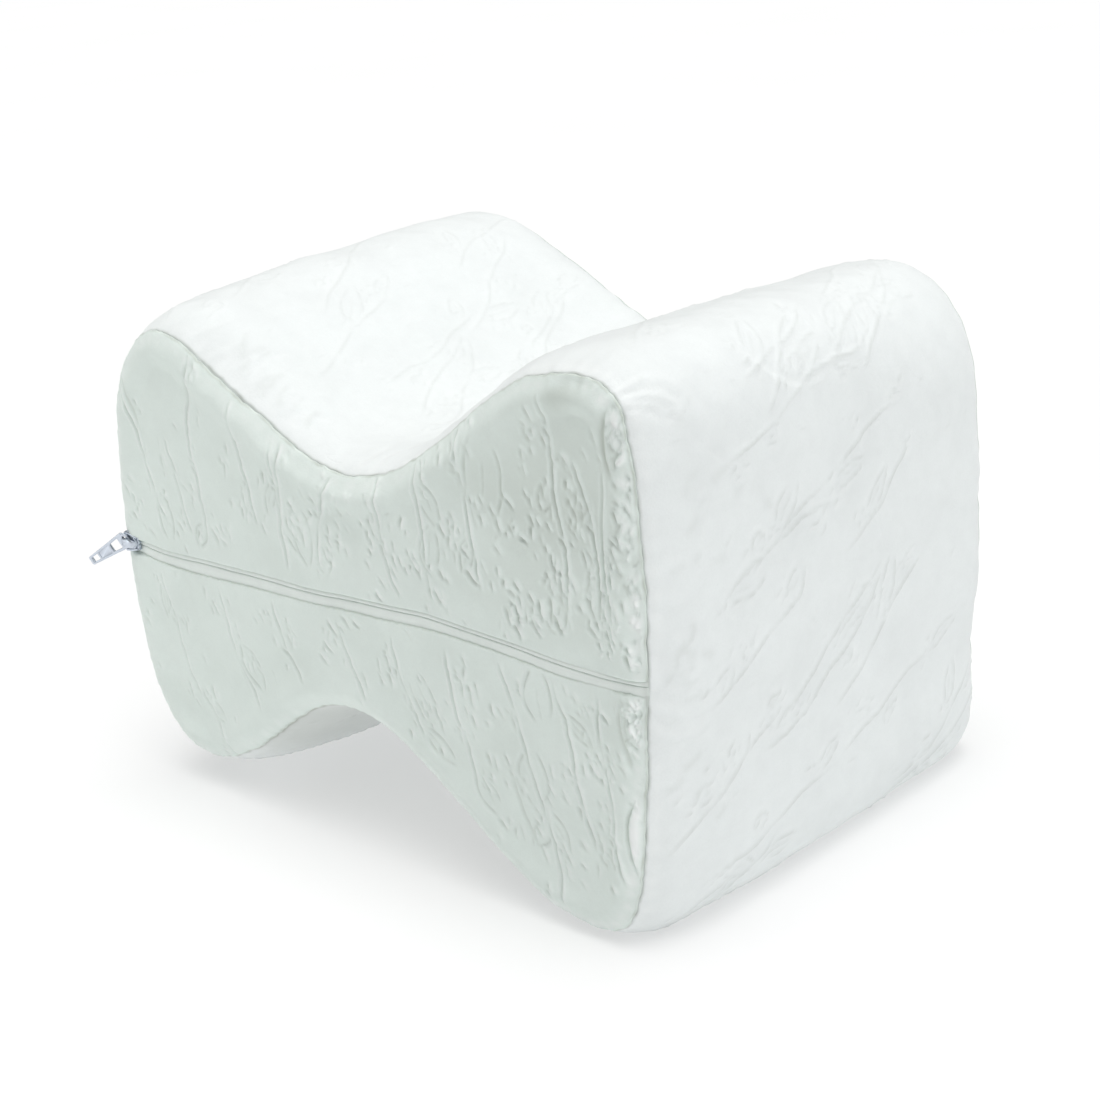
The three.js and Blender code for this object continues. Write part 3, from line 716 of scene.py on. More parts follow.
# path in x, z; width; depth, negative for a ridge
FRONT_CREASES = (
    ([(114.5, 80.5), (111.2, 77.0), (109.4, 71.0), (109.8, 64.0), (112.0, 58.5)], 0.85, 0.75),
    ([(115.6, 79.0), (114.6, 74.0), (116.0, 70.0)], 0.5, 0.55),
    ([(119.8, 72.0), (117.2, 69.2), (118.4, 65.5)], 0.5, 0.5),
    ([(113.6, 72.4), (115.0, 68.4), (114.0, 64.6)], 0.5, 0.5),
    ([(110.6, -6.0), (109.4, -14.0), (112.0, -22.0), (113.4, -30.0)], 0.7, 0.45),
    ([(115.4, -7.6), (114.6, -13.4), (116.2, -20.0)], 0.5, 0.55),
    ([(117.6, -10.0), (116.0, -16.0), (117.4, -22.5)], 0.5, 0.45),
    ([(112.6, -8.6), (111.6, -15.0), (114.4, -25.0)], 0.45, 0.35),
    ([(113.8, -36.5), (110.8, -43.0), (110.0, -50.6), (110.6, -57.5), (112.2, -64.0)], 0.5, 0.75),
    ([(117.0, -38.0), (113.0, -44.5), (112.4, -50.6), (112.6, -57.0), (112.8, -62.5)], 1.7, -0.55),
    ([(104.0, 86.0), (97.0, 82.0), (90.0, 78.0)], 3.4, 0.35),
    ([(-70.0, 72.0), (-74.0, 64.0), (-74.5, 56.0)], 0.8, 0.45),
    ([(-113.0, 62.0), (-108.0, 52.0), (-104.0, 38.0)], 0.7, 0.35),
    ([(66.0, -40.0), (69.0, -54.0), (74.0, -66.0)], 0.6, 0.35),
    ([(108.5, 55.0), (109.0, 42.0), (107.5, 30.0)], 1.6, -0.22),
)


def front_detail(rel):
    rng = np.random.default_rng(55)
    for path, width, depth in FRONT_CREASES:
        p = np.array(path, float)
        t, w = np.linspace(0, 1, len(p)), np.linspace(0, 1, 60)
        q = np.stack([np.interp(w, t, p[:, 0]), np.interp(w, t, p[:, 1])], 1)
        q = np.stack([np.convolve(np.pad(q[:, c], 5, "edge"), np.ones(11) / 11, "valid") for c in (0, 1)], 1)
        q += rng.normal(0, 0.04, q.shape)
        fade = np.clip(np.minimum(w, 1 - w) / 0.2, 0, 1) ** 0.7
        rel.stamp(rel.trough if depth > 0 else rel.ridge, q, width * 1.12, 1.5 * abs(depth) * fade)
    for x, z, wide, high, n, h in FRONT_TUFTS:
        for k in range(n):
            c = np.array([x, z]) + rng.normal(0, 1, 2) * [wide, high]
            a, l = rng.uniform(0.6, 2.5), rng.uniform(0.5, 1.3)
            q = walk(c[0], c[1], a, 2 * l, 0.0, rng.uniform(-1.4, 1.4), rng, 8)
            rel.stamp(rel.ridge if k % 2 else rel.trough, q, rng.uniform(0.42, 0.72), h * rng.uniform(0.55, 1.1))


_rim_highlight_waves = Waves(95, 3.5, 12, 12, LENGTH)
_rim_highlight_amount = profile(((0, 1.0), (110, 0.9), (135, 0.35), (500, 0.3), (720, 0.4), (770, 1.0)), 8)


def painted_rim_highlight(d, s):
    """Painted highlight along the roll beside a seam, most of all on the right."""
    much = np.interp(s, RING_S, _rim_highlight_amount, period=LENGTH) * np.clip(0.55 + 0.5 * _rim_highlight_waves(s, 0 * s), 0.05, 1.2)
    return 0.60 * much * np.exp(-(((d - 2.3) / 1.7) ** 2))


def round_edge(d, reach):
    """0 at the edge, 1 from reach inwards, on a quarter ellipse."""
    k = np.clip(d / reach, 0, 1)
    return np.sqrt(np.clip(1 - (1 - k) ** 2, 0, 1))


PANEL_TUCK = 0.75  # near the zip the panel's back stands off the body by this much, over the tape
RIM_ROLL = 8.0


def panel_height(d_rim, d_zip, s, x, z, end, waves):
    """The outer surface above the body's face, before the pattern."""
    h = np.full(np.shape(x), CLOTH)
    h = h + 1.35 * np.exp(-(((d_rim - 6.6) / 4.2) ** 2))  # the edge stands up in a soft roll
    h = h - 0.55 * np.exp(-(((d_rim - 16.5) / 7.0) ** 2))
    if end < 0:  # hollows under the two upper crests
        h = h - 0.8 * np.exp(-(((x - 90) / 24.0) ** 2) - (((z - 64) / 13.0) ** 2))
        h = h - 0.6 * np.exp(-(((x + 92) / 20.0) ** 2) - (((z - 60) / 10.0) ** 2))
    h = h + 0.42 * waves[0](x, z) * np.clip(d_rim / 8, 0, 1)
    h = h + 0.19 * waves[1](x, z) * np.clip(d_rim / 4, 0, 1)
    gather = np.maximum(0.16 + 0.18 * waves[2](s, 0 * s), 0.04)
    h = h + gather * waves[3](s, 0.2 * d_rim) * np.exp(-d_rim / 4.2) * np.clip(d_rim / 1.2, 0, 1)
    h = np.maximum(h, 0.95)
    h = 0.25 + (h - 0.25) * round_edge(d_rim, RIM_ROLL)
    if d_zip is not None:
        h = h - 0.15 * np.exp(-((d_zip / 4.0) ** 2)) * np.clip(d_rim / 5, 0, 1)
        low = PANEL_TUCK * np.clip(d_rim / 3, 0.15, 1) + 0.12
        h = low + (np.maximum(h, low) - low) * round_edge(d_zip, 1.15)
    return h


def panel_waves(seed):
    return (Waves(seed, 26, 60), Waves(seed + 1, 8, 16), Waves(seed + 2, 40, 90, 8, LENGTH), Waves(seed + 3, 4.2, 9.0, 12, LENGTH))


FRONT_WAVES = panel_waves(70)


def build_half_panel(name, up, rel, rim):
    line = rim.line
    edge = upper_edge if up else lower_edge
    sgn = 1 if up else -1
    # the rim from one end of the zip edge round to the other
    over = sgn * (line[:, 1] - edge(line[:, 0])) > 0
    idx = np.arange(RING_N)
    if up:
        first = idx[(line[:, 0] > 100) & over & (line[:, 1] < 30)].min()
        last = idx[(line[:, 0] < -100) & over & (line[:, 1] < 30)].max()
        run = idx[first : last + 1]
    else:
        first = idx[(line[:, 0] < -100) & over & (line[:, 1] > -30)].min()
        last = idx[(line[:, 0] > 100) & over & (line[:, 1] > -30)].max()
        run = idx[first : last + 1]
    path = line[run]

    def meet(a, b):  # where the seam line crosses the zip edge
        fa, fb = a[1] - edge(a[0]), b[1] - edge(b[0])
        return a + (b - a) * (fa / (fa - fb))

    path = np.vstack([meet(line[run[0] - 1], line[run[0]]), path, meet(line[run[-1]], line[(run[-1] + 1) % RING_N])])
    cols = 700
    top = resample(path, cols)
    u = np.linspace(0, 1, cols)
    bx = path[0, 0] + (path[-1, 0] - path[0, 0]) * (0.72 * u + 0.28 * (top[:, 0] - path[0, 0]) / (path[-1, 0] - path[0, 0]))
    bottom = np.stack([bx, edge(bx)], 1)
    length = np.hypot(*(top - bottom).T)
    from_zip = np.array([0, 0.05, 0.15, 0.3, 0.5, 0.75, 1.05, 1.4, 1.8, 2.3])
    from_rim = np.array([0, 0.05, 0.16, 0.36, 0.65, 1.05, 1.55, 2.15, 2.8])
    n_mid = 108
    rows = len(from_zip) + n_mid + len(from_rim)
    scale = np.clip(length / 14.0, 0, 1)[:, None]
    a, b = from_zip[None, :] * scale, length[:, None] - from_rim[None, ::-1] * scale
    m = np.linspace(0, 1, n_mid + 2)[1:-1][None, :]
    mid = a[:, -1:] + (b[:, :1] - a[:, -1:]) * m
    dist = np.concatenate([a, mid, b], 1) / np.maximum(length, 1e-9)[:, None]  # share of the column, cols x rows
    X = bottom[:, 0:1] + (top[:, 0:1] - bottom[:, 0:1]) * dist
    Z = bottom[:, 1:2] + (top[:, 1:2] - bottom[:, 1:2]) * dist
    d_rim, s = rim(X, Z)
    d_rim[:, -1] = 0
    d_zip = np.maximum(sgn * (Z - edge(X)), 0)
    d_zip[:, 0] = 0
    t = share(X, Z, -1)
    H = panel_height(d_rim, d_zip, s, X, Z, -1, FRONT_WAVES)
    tr, rg = rel.height(X, Z)
    fade = np.clip((d_rim - 0.2) / 1.4, 0, 1) * np.clip((d_zip - 0.5) / 1.2, 0, 1)
    # fine upright gathers that hang from the stitched edge
    pull = (0.05 if up else 0.11) * Waves(91, 2.6, 6.5, 14)(X, 0.12 * Z) * np.exp(-d_zip / 4.0) * np.clip((d_zip - 0.3) / 0.8, 0, 1)
    H = np.maximum(H + (0.95 * rg - 0.85 * tr) * fade + pull, 0.24 + 0.45 * np.clip(d_rim / 3, 0, 1))
    Y = -(HALF_DEPTH + GAP + crown(t) + H)
    # painted shade: a dark line in the seam's crease, darker pattern troughs, and a line along the zip edge under the
    # cloth's fold
    seam = 0.46 + 0.24 * Waves(93, 4.0, 13, 12, LENGTH)(s, 0 * s)
    shade = 1 - np.clip(np.clip(seam, 0.08, 0.85) * np.exp(-((d_rim / 0.42) ** 2)) + 0.50 * tr * fade + (0.22 if up else 0.32) * np.exp(-((d_zip / 0.3) ** 2)), 0, 0.85)
    # painted shade high on the right of the face, plus a faint random mottle of tone all over
    painted_shade_and_mottle = 0.30 * np.exp(-(((X - 88) / 34.0) ** 2) - (((Z - 46) / 27.0) ** 2)) + 0.05 * np.clip(FRONT_WAVES[0](X + 31, Z), -1.2, 1.2)
    # painted highlights along the seam's roll and on the pattern's ridges
    shade = shade - painted_shade_and_mottle + painted_rim_highlight(d_rim, s) + np.clip(0.80 * rg * fade, 0, 0.62)
    back_at = np.array([0, 0.07, 0.16, 0.3, 0.6, 0.94, 1.0])
    bX = bottom[:, 0:1] + (top[:, 0:1] - bottom[:, 0:1]) * back_at
    bZ = bottom[:, 1:2] + (top[:, 1:2] - bottom[:, 1:2]) * back_at
    bd_rim, _ = rim(bX, bZ)
    bd_zip = np.maximum(sgn * (bZ - edge(bX)), 0)
    lift = (PANEL_TUCK - 0.1) * np.clip(1 - (bd_zip - 12.5) / 2.0, 0, 1) * np.clip(bd_rim / 3, 0.15, 1)
    bY = -(HALF_DEPTH + GAP + crown(share(bX, bZ, -1)) + 0.02 + lift)
    nb = len(back_at)
    inner = slice(1, cols - 1)
    nc = cols - 2
    outer_v = np.stack([X, Y, Z], -1)[inner].reshape(-1, 3)
    back_v = np.stack([bX, bY, bZ], -1)[inner].reshape(-1, 3)
    ends = np.array([[path[0, 0], -(HALF_DEPTH + GAP + 0.12), path[0, 1]], [path[-1, 0], -(HALF_DEPTH + GAP + 0.12), path[-1, 1]]])
    verts = np.vstack([outer_v, back_v, ends])
    # the back faces and the two corner points where zip and seam meet carry painted shade
    shades = np.concatenate([shade[inner].ravel(), np.full(nc * nb, 0.85), [0.4, 0.4]])
    faces = grid_faces(nc, rows) + grid_faces(nc, nb, offset=nc * rows)
    o = lambda j, r: j * rows + r
    q = lambda j, r: nc * rows + j * nb + r
    e0, e1 = nc * (rows + nb), nc * (rows + nb) + 1
    for j in range(nc - 1):
        faces.append([o(j, 0), o(j + 1, 0), q(j + 1, 0), q(j, 0)])
        faces.append([o(j, rows - 1), o(j + 1, rows - 1), q(j + 1, nb - 1), q(j, nb - 1)])
    for j, e in ((0, e0), (nc - 1, e1)):
        faces += [[o(j, r), o(j, r + 1), e] for r in range(rows - 1)]
        faces += [[q(j, r), q(j, r + 1), e] for r in range(nb - 1)]
        faces.append([o(j, 0), q(j, 0), e])
        faces.append([o(j, rows - 1), q(j, nb - 1), e])
    area = float((np.hypot(*(top[1:] - top[:-1]).T) + np.hypot(*(bottom[1:] - bottom[:-1]).T)).sum() / 2 * 0 + abs(polygon_area(np.vstack([bottom, top[::-1]]))))
    return build(name, verts, faces, shades), area, float(length.sum() * 0 + np.hypot(*(np.diff(path, axis=0)).T).sum())


def polygon_area(p):
    x, y = p[:, 0], p[:, 1]
    return 0.5 * float(np.sum(x * np.roll(y, -1) - np.roll(x, -1) * y))


def build_far_panel(rel):
    rim = Rim(1)
    cols = 700
    k = np.linspace(0, RING_N, cols, endpoint=False)
    i = np.floor(k).astype(int)
    f = (k - i)[:, None]
    edge = rim.line[i] * (1 - f) + rim.line[(i + 1) % RING_N] * f
    from_rim = np.array([0, 0.1, 0.3, 0.65, 1.1, 1.7, 2.5, 3.5]) / 95.0
    ts = np.concatenate([1 - from_rim, np.linspace(1 - from_rim[-1], 0.03, 66)[1:]])
    X, Z = edge[:, 0][None, :] * ts[:, None], edge[:, 1][None, :] * ts[:, None]
    d_rim, s = rim(X, Z)
    d_rim[0] = 0
    H = panel_height(d_rim, None, s, X, Z, 1, panel_waves(300))
    tr, rg = rel.height(X, Z)
    fade = np.clip((d_rim - 0.5) / 2.5, 0, 1)
    H = H + (0.6 * rg - tr) * fade
    Y = HALF_DEPTH + GAP + crown(share(X, Z, 1)) + H
    # painted shade: a dark line in the seam's crease and darker pattern troughs
    shade = 1 - np.clip(0.55 * np.exp(-((d_rim / 0.4) ** 2)) + 0.45 * tr * fade, 0, 0.8)
    rows = len(ts)
    verts, shades = [np.stack([X, Y, Z], -1).reshape(-1, 3)], [shade.ravel()]
    faces = grid_faces(rows, cols, wrap=True)
    count = rows * cols
    verts.append(np.array([[0, HALF_DEPTH + GAP + CROWN + CLOTH, 0]]))
    shades.append(np.array([1.0]))
    last = (rows - 1) * cols + np.arange(cols)
    faces += [[int(a), int(b), count] for a, b in zip(last, np.roll(last, -1))]
    count += 1
    prev = np.arange(cols)
    for t in (1.0, 0.95, 0.7, 0.4, 0.1):
        x, z = edge[:, 0] * t, edge[:, 1] * t
        verts.append(np.stack([x, HALF_DEPTH + GAP + crown(share(x, z, 1)) + 0.02, z], -1))
        shades.append(np.full(cols, 0.85))
        cur = count + np.arange(cols)
        faces += np.stack([prev, np.roll(prev, -1), np.roll(cur, -1), cur], 1).tolist()
        prev, count = cur, count + cols
    verts.append(np.array([[0, HALF_DEPTH + GAP + CROWN + 0.02, 0]]))
    shades.append(np.array([0.85]))
    faces += [[int(a), int(b), count] for a, b in zip(prev, np.roll(prev, -1))]
    return build("panel_far", np.concatenate(verts), faces, np.concatenate(shades)), abs(polygon_area(edge)), float(np.hypot(*(edge - np.roll(edge, 1, 0)).T).sum())


# ---------------------------------------------------------------- zip tapes

TAPE_WIDTH = 12.0
TAPE_LEFT, TAPE_RIGHT = -120.6, 119.4


def build_tape(name, up):
    xs = np.concatenate([np.linspace(TAPE_LEFT, TAPE_RIGHT, 520)])
    sgn = 1 if up else -1
    show = (upper_edge(xs) if up else lower_edge(xs))
    c = closure_line(xs) + sgn * 0.05
    visible = np.abs(show - c)
    # cross section: share of the visible strip from the closure, height over the body
    strip = np.array([0.0, 0.015, 0.05, 0.12, 0.25, 0.45, 0.65, 0.82, 0.95])
    rise = np.array([0.40, 0.72, 0.90, 1.02, 1.10, 1.12, 1.06, 0.95, 0.80]) + 0.05
    end = np.minimum(xs - TAPE_LEFT, TAPE_RIGHT - xs)
    roll = 0.12 + 0.88 * round_edge(end, 5.0)
    wob = 0.05 * Waves(21 + up, 9, 26, 8)(xs, 0 * xs)
    t = np.abs(xs) / (HALF_WIDTH - RIM_INSET)
    base = HALF_DEPTH + GAP + crown(t)
    rings = []
    for a, r in zip(strip, rise):
        rings.append(np.stack([xs, -(base + 0.04 + (r + wob) * roll), c + sgn * visible * a], 1))
    short = TAPE_LEFT + (xs - TAPE_LEFT) * (117.2 - TAPE_LEFT) / (TAPE_RIGHT - TAPE_LEFT)
    for at, off in ((xs, visible + 0.6), (short, np.full(len(xs), TAPE_WIDTH - 0.2))):
        rings.append(np.stack([at, -(base + 0.04 + 0.52 * roll), c + sgn * off], 1))
    rings.append(np.stack([short, -(base + 0.30 * roll + 0.02), c + sgn * TAPE_WIDTH], 1))
    rings.append(np.stack([short, -(base + 0.03), c + sgn * (TAPE_WIDTH - 0.2)], 1))
    rings.append(np.stack([xs, -(base + 0.03), c + sgn * 3.0], 1))
    rings.append(np.stack([xs, -(base + 0.03), c + sgn * 0.1], 1))
    v = np.stack(rings, 1)  # stations x ring x 3
    # keep the hidden width inside the seam line at the tape's ends
    n, m = v.shape[:2]
    faces = grid_faces(n, m, wrap=True)
    faces.append(list(range(m)))
    faces.append([(n - 1) * m + k for k in range(m)])
    # painted shade in the closure gap, along the strip's edge under the cloth's fold, and at the right end where the
    # tape runs under the seam
    shade = np.ones((n, m))
    shade[:, 0] = 0.6
    shade[:, -1] = 0.6
    shade[:, 1] = 0.82
    shade[:, 8:10] = 0.8
    shade -= 0.38 * np.exp(-(((TAPE_RIGHT - xs) / 1.6) ** 2))[:, None]
    ob = build(name, v.reshape(-1, 3), faces, shade.ravel())
    return ob


# ---------------------------------------------------------------- slider and pull

SLIDER_X, SLIDER_Z = -118.0, -0.65
SLIDER_BACK = -(HALF_DEPTH + GAP + 1.3 + float(crown(np.array(abs(SLIDER_X + 4.0) / (HALF_WIDTH - RIM_INSET)))))
PLATE = 1.4
PULL = {"length": 21.0, "root": 3.2, "tip": 1.65, "thick": 1.1}
PULL_ROOT = np.array([-119.9, SLIDER_BACK - PLATE - 0.75, 0.5])
PULL_ALONG = np.array([-0.844, -0.205, -0.495])
PULL_ACROSS = np.array([0.449, 0.235, -0.862])


def flat_solid(name, loops, thick, bevel):
    """A bevelled plate cut from flat outlines, the first being the outside, the others its openings."""
    cu = bpy.data.curves.new(name, "CURVE")
    cu.dimensions = "2D"
    cu.fill_mode = "BOTH"
    cu.extrude = thick / 2 - bevel
    cu.bevel_depth = bevel
    cu.bevel_resolution = 2
    cu.offset = -bevel
    for pts in loops:
        sp = cu.splines.new("POLY")
        sp.points.add(len(pts) - 1)
        for p, (x, y) in zip(sp.points, pts):
            p.co = (x, y, 0, 1)
        sp.use_cyclic_u = True
    ob = bpy.data.objects.new(name, cu)
    bpy.context.scene.collection.objects.link(ob)
    bpy.context.view_layer.update()
    me = bpy.data.meshes.new_from_object(ob.evaluated_get(bpy.context.evaluated_depsgraph_get()))
    bpy.data.objects.remove(ob)
    bpy.data.curves.remove(cu)
    bm = bmesh.new()
    bm.from_mesh(me)
    bmesh.ops.remove_doubles(bm, verts=bm.verts, dist=1e-4)
    bmesh.ops.recalc_face_normals(bm, faces=bm.faces)
    bm.to_mesh(me)
    bm.free()
    out = bpy.data.objects.new(name, me)
    bpy.context.scene.collection.objects.link(out)
    return out


def rounded(points, radius, steps=5):
    """A closed outline with its corners rounded."""
    pts = [np.array(p, float) for p in points]
    out = []
    for i, p in enumerate(pts):
        a, b = pts[i - 1], pts[(i + 1) % len(pts)]
        u, w = (a - p) / np.linalg.norm(a - p), (b - p) / np.linalg.norm(b - p)
        r = min(radius, 0.45 * np.linalg.norm(a - p), 0.45 * np.linalg.norm(b - p))
        p0, p1 = p + u * r, p + w * r
        for k in range(steps + 1):
            t = k / steps
            out.append(tuple((1 - t) ** 2 * p0 + 2 * t * (1 - t) * p + t * t * p1))
    return out


def join_solids(name, first, *others):
    """The union of closed meshes, as one mesh."""
    for o in others:
        m = first.modifiers.new("add", "BOOLEAN")
        m.operation, m.solver, m.object = "UNION", "EXACT", o
    bpy.context.view_layer.update()
    me = bpy.data.meshes.new_from_object(first.evaluated_get(bpy.context.evaluated_depsgraph_get()))
    me.name = name
    for o in (first, *others):
        bpy.data.objects.remove(o)
    ob = bpy.data.objects.new(name, me)
    bpy.context.scene.collection.objects.link(ob)
    return ob


def finish_metal(ob, matrix):
    """Moves a small part made about its own origin, in millimetres, to its place."""
    me = ob.data
    me.transform(Matrix(matrix.tolist()))
    co = np.zeros(len(me.vertices) * 3)
    me.vertices.foreach_get("co", co)
    me.vertices.foreach_set("co", place(co.reshape(-1, 3)).ravel())
    me.polygons.foreach_set("use_smooth", np.ones(len(me.polygons), bool))
    me.set_sharp_from_angle(angle=math.radians(38))
    me.update()
    return ob


def basis(x, y, z, at):
    m = np.eye(4)
    m[:3, 0], m[:3, 1], m[:3, 2], m[:3, 3] = x, y, z, at
    return m


def sweep_arch(name, half, rise, width, thick, sink):
    """A broad strap along an arch in the local X-Z plane, narrowing to its feet, which sink below Z = 0."""
    a = np.linspace(0, math.pi, 41)
    px = np.sign(np.cos(a)) * half * np.abs(np.cos(a)) ** 0.72
    pz = rise * np.sin(a) ** 0.72
    px = np.concatenate([[px[0]], px, [px[-1]]])
    pz = np.concatenate([[-sink], pz, [-sink]])
    d = np.stack([np.gradient(px), np.gradient(pz)], 1)
    d /= np.hypot(*d.T)[:, None]
    n = np.stack([d[:, 1], -d[:, 0]], 1)
    b = np.linspace(0, 2 * math.pi, 20, endpoint=False)
    cu = np.sign(np.cos(b)) * np.abs(np.cos(b)) ** 0.6 * width / 2
    cv = np.sign(np.sin(b)) * np.abs(np.sin(b)) ** 0.6 * thick / 2
    v = np.zeros((len(px), len(b), 3))
    v[..., 0] = px[:, None] + n[:, 0:1] * cv[None]
    v[..., 2] = pz[:, None] + n[:, 1:2] * cv[None]
    taper = np.sqrt(np.clip(1 - 0.80 * np.abs(px / half) ** 4, 0.1, 1))
    v[..., 1] = cu[None] * taper[:, None]
    faces = grid_faces(len(px), len(b), wrap=True)
    faces.append(list(range(len(b))))
    faces.append([(len(px) - 1) * len(b) + k for k in range(len(b))])
    me = bpy.data.meshes.new(name)
    me.from_pydata(v.reshape(-1, 3).tolist(), [], faces)
    bm = bmesh.new()
    bm.from_mesh(me)
    bmesh.ops.recalc_face_normals(bm, faces=bm.faces)
    bm.to_mesh(me)
    bm.free()
    ob = bpy.data.objects.new(name, me)
    bpy.context.scene.collection.objects.link(ob)
    return ob


def shift(ob, x=0.0, y=0.0, z=0.0):
    ob.data.transform(Matrix.Translation((x, y, z)))
    return ob


def build_slider():
    # local frame: X along the zip, Y across it, Z out of the cloth; the plate's back at Z = 0
    left, right = -3.95, 3.95
    shape = [(left, -3.4), (left + 0.9, -3.85), (-0.5, -3.5), (right - 0.6, -2.6), (right, -2.2), (right - 0.55, -1.75), (right, -1.3), (right, -0.75), (right - 0.6, -0.35),
             (right, 0.05), (right, 0.6), (right - 0.6, 1.0), (right, 1.4), (right, 2.2), (right - 0.6, 2.6), (-0.5, 3.5), (left + 0.9, 3.85), (left, 3.4), (left + 1.0, 0.0)]
    plate = flat_solid("plate", [rounded(shape, 0.5)], PLATE, 0.28)
    shift(plate, z=PLATE / 2)
    parts = []
    # raised lips along both edges
    for side in (-1, 1):
        lip = flat_solid("lip", [rounded([(left + 0.5, side * 3.65), (-0.5, side * 3.35), (right - 0.7, side * 2.48), (right - 0.7, side * 1.75), (-0.5, side * 2.65), (left + 0.5, side * 2.95)], 0.3)], 0.8, 0.2)
        shift(lip, z=PLATE + 0.15)
        parts.append(lip)
    # a curved lip round the strap's right end
    a = np.linspace(-1.05, 1.05, 15)
    arc = [(0.6 + 2.75 * math.cos(t), 2.35 * math.sin(t)) for t in a] + [(0.6 + 2.15 * math.cos(t), 1.80 * math.sin(t)) for t in a[::-1]]
    ring = flat_solid("arc", [arc], 0.9, 0.15)
    shift(ring, z=PLATE + 0.2)
    parts.append(ring)
    # the strap the pull hangs from
    strap = sweep_arch("strap", 3.55, 2.15, 3.3, 0.95, 0.8)
    shift(strap, x=-0.75, z=PLATE - 0.2)
    parts.append(strap)
    ob = join_solids("slider", plate, *parts)
    return finish_metal(ob, basis((1, 0, 0), (0, 0, 1), (0, -1, 0), (SLIDER_X, SLIDER_BACK, SLIDER_Z)))


def build_pull():
    p = PULL
    half = lambda x: p["root"] + (p["tip"] - p["root"]) * x / p["length"]
    end = p["length"]
    # the root narrows to a neck that passes under the strap, with a small lug at its upper corner
    outer = rounded([(-1.3, -1.5), (-0.7, -1.5), (-0.2, -2.5), (0.5, -2.35), (1.0, -3.15), (end, -p["tip"]), (end, p["tip"]), (1.2, half(1.2)), (-0.3, 2.4), (-1.3, 1.5)], 0.55)
    eye = rounded([(-0.45, -0.9), (1.1, -1.7), (1.1, 1.7), (-0.45, 0.9)], 0.4)
    win = rounded([(3.7, -half(3.7) + 1.0), (8.4, -half(8.4) + 1.0), (8.4, half(8.4) - 1.0), (3.7, half(3.7) - 1.0)], 0.35)
    f0, f1 = 9.4, 15.2
    field = rounded([(f0, -half(f0) + 0.85), (f1, -half(f1) + 0.75), (f1, half(f1) - 0.75), (f0, half(f0) - 0.85)], 0.4)
    hole = rounded([(16.2, -half(16.2) + 0.9), (19.7, -half(19.7) + 0.75), (19.7, half(19.7) - 0.75), (16.2, half(16.2) - 0.9)], 0.3)
    border = flat_solid("border", [outer, eye, win, field, hole], p["thick"], 0.24)
    web = flat_solid("web", [rounded([(f0 - 0.4, -half(f0) + 0.55), (f1 + 0.4, -half(f1) + 0.45), (f1 + 0.4, half(f1) - 0.45), (f0 - 0.4, half(f0) - 0.55)], 0.4)], 0.70, 0.05)
    ob = join_solids("pull", border, web)
    return finish_metal(ob, basis(PULL_ALONG, PULL_ACROSS, np.cross(PULL_ALONG, PULL_ACROSS), PULL_ROOT))


# ---------------------------------------------------------------- materials


def node(nt, kind, **values):
    n = nt.nodes.new(kind)
    for k, v in values.items():
        if k in n.inputs:
            n.inputs[k].default_value = v
        else:
            setattr(n, k, v)
    return n


def noise(nt, coord, scale, detail=2.0, rough=0.55, stretch=None, distortion=0.0):
    if stretch is not None:
        m = node(nt, "ShaderNodeMapping")
        m.inputs["Scale"].default_value = stretch
        nt.links.new(coord, m.inputs["Vector"])
        coord = m.outputs["Vector"]
    n = node(nt, "ShaderNodeTexNoise", Scale=scale, Detail=detail, Roughness=rough, Distortion=distortion)
    nt.links.new(coord, n.inputs["Vector"])
    return n.outputs["Fac"]


def maths(nt, op, a, b=None, clamp=False):
    n = nt.nodes.new("ShaderNodeMath")
    n.operation, n.use_clamp = op, clamp
    for k, v in enumerate((a, b)):
        if v is None:
            continue
        if isinstance(v, (int, float)):
            n.inputs[k].default_value = v
        else:
            nt.links.new(v, n.inputs[k])
    return n.outputs[0]


def ramp(nt, fac, stops):
    n = nt.nodes.new("ShaderNodeValToRGB")
    els = n.color_ramp.elements
    while len(els) < len(stops):
        els.new(0.5)
    for e, (pos, c) in zip(els, stops):
        e.position = pos
        e.color = (*c, 1) if len(c) == 3 else c
    nt.links.new(fac, n.inputs["Fac"])
    return n.outputs["Color"]


def bump_node(nt, height, strength, distance, before=None):
    n = node(nt, "ShaderNodeBump", Strength=strength, Distance=distance)
    nt.links.new(height, n.inputs["Height"])
    if before is not None:
        nt.links.new(before, n.inputs["Normal"])
    return n.outputs["Normal"]


def new_material(name):
    m = bpy.data.materials.new(name)
    m.use_nodes = True
    nt = m.node_tree
    nt.nodes.clear()
    out = nt.nodes.new("ShaderNodeOutputMaterial")
    bsdf = nt.nodes.new("ShaderNodeBsdfPrincipled")
    nt.links.new(bsdf.outputs[0], out.inputs["Surface"])
    return m, nt, bsdf


def mix(nt, fac, a, b, mode="MIX"):
    n = nt.nodes.new("ShaderNodeMix")
    n.data_type, n.blend_type = "RGBA", mode
    for k, v in ((0, fac), (6, a), (7, b)):
        if isinstance(v, (int, float)):
            n.inputs[k].default_value = v
        elif isinstance(v, tuple):
            n.inputs[k].default_value = (*v, 1) if len(v) == 3 else v
        else:
            nt.links.new(v, n.inputs[k])
    return n.outputs[2]


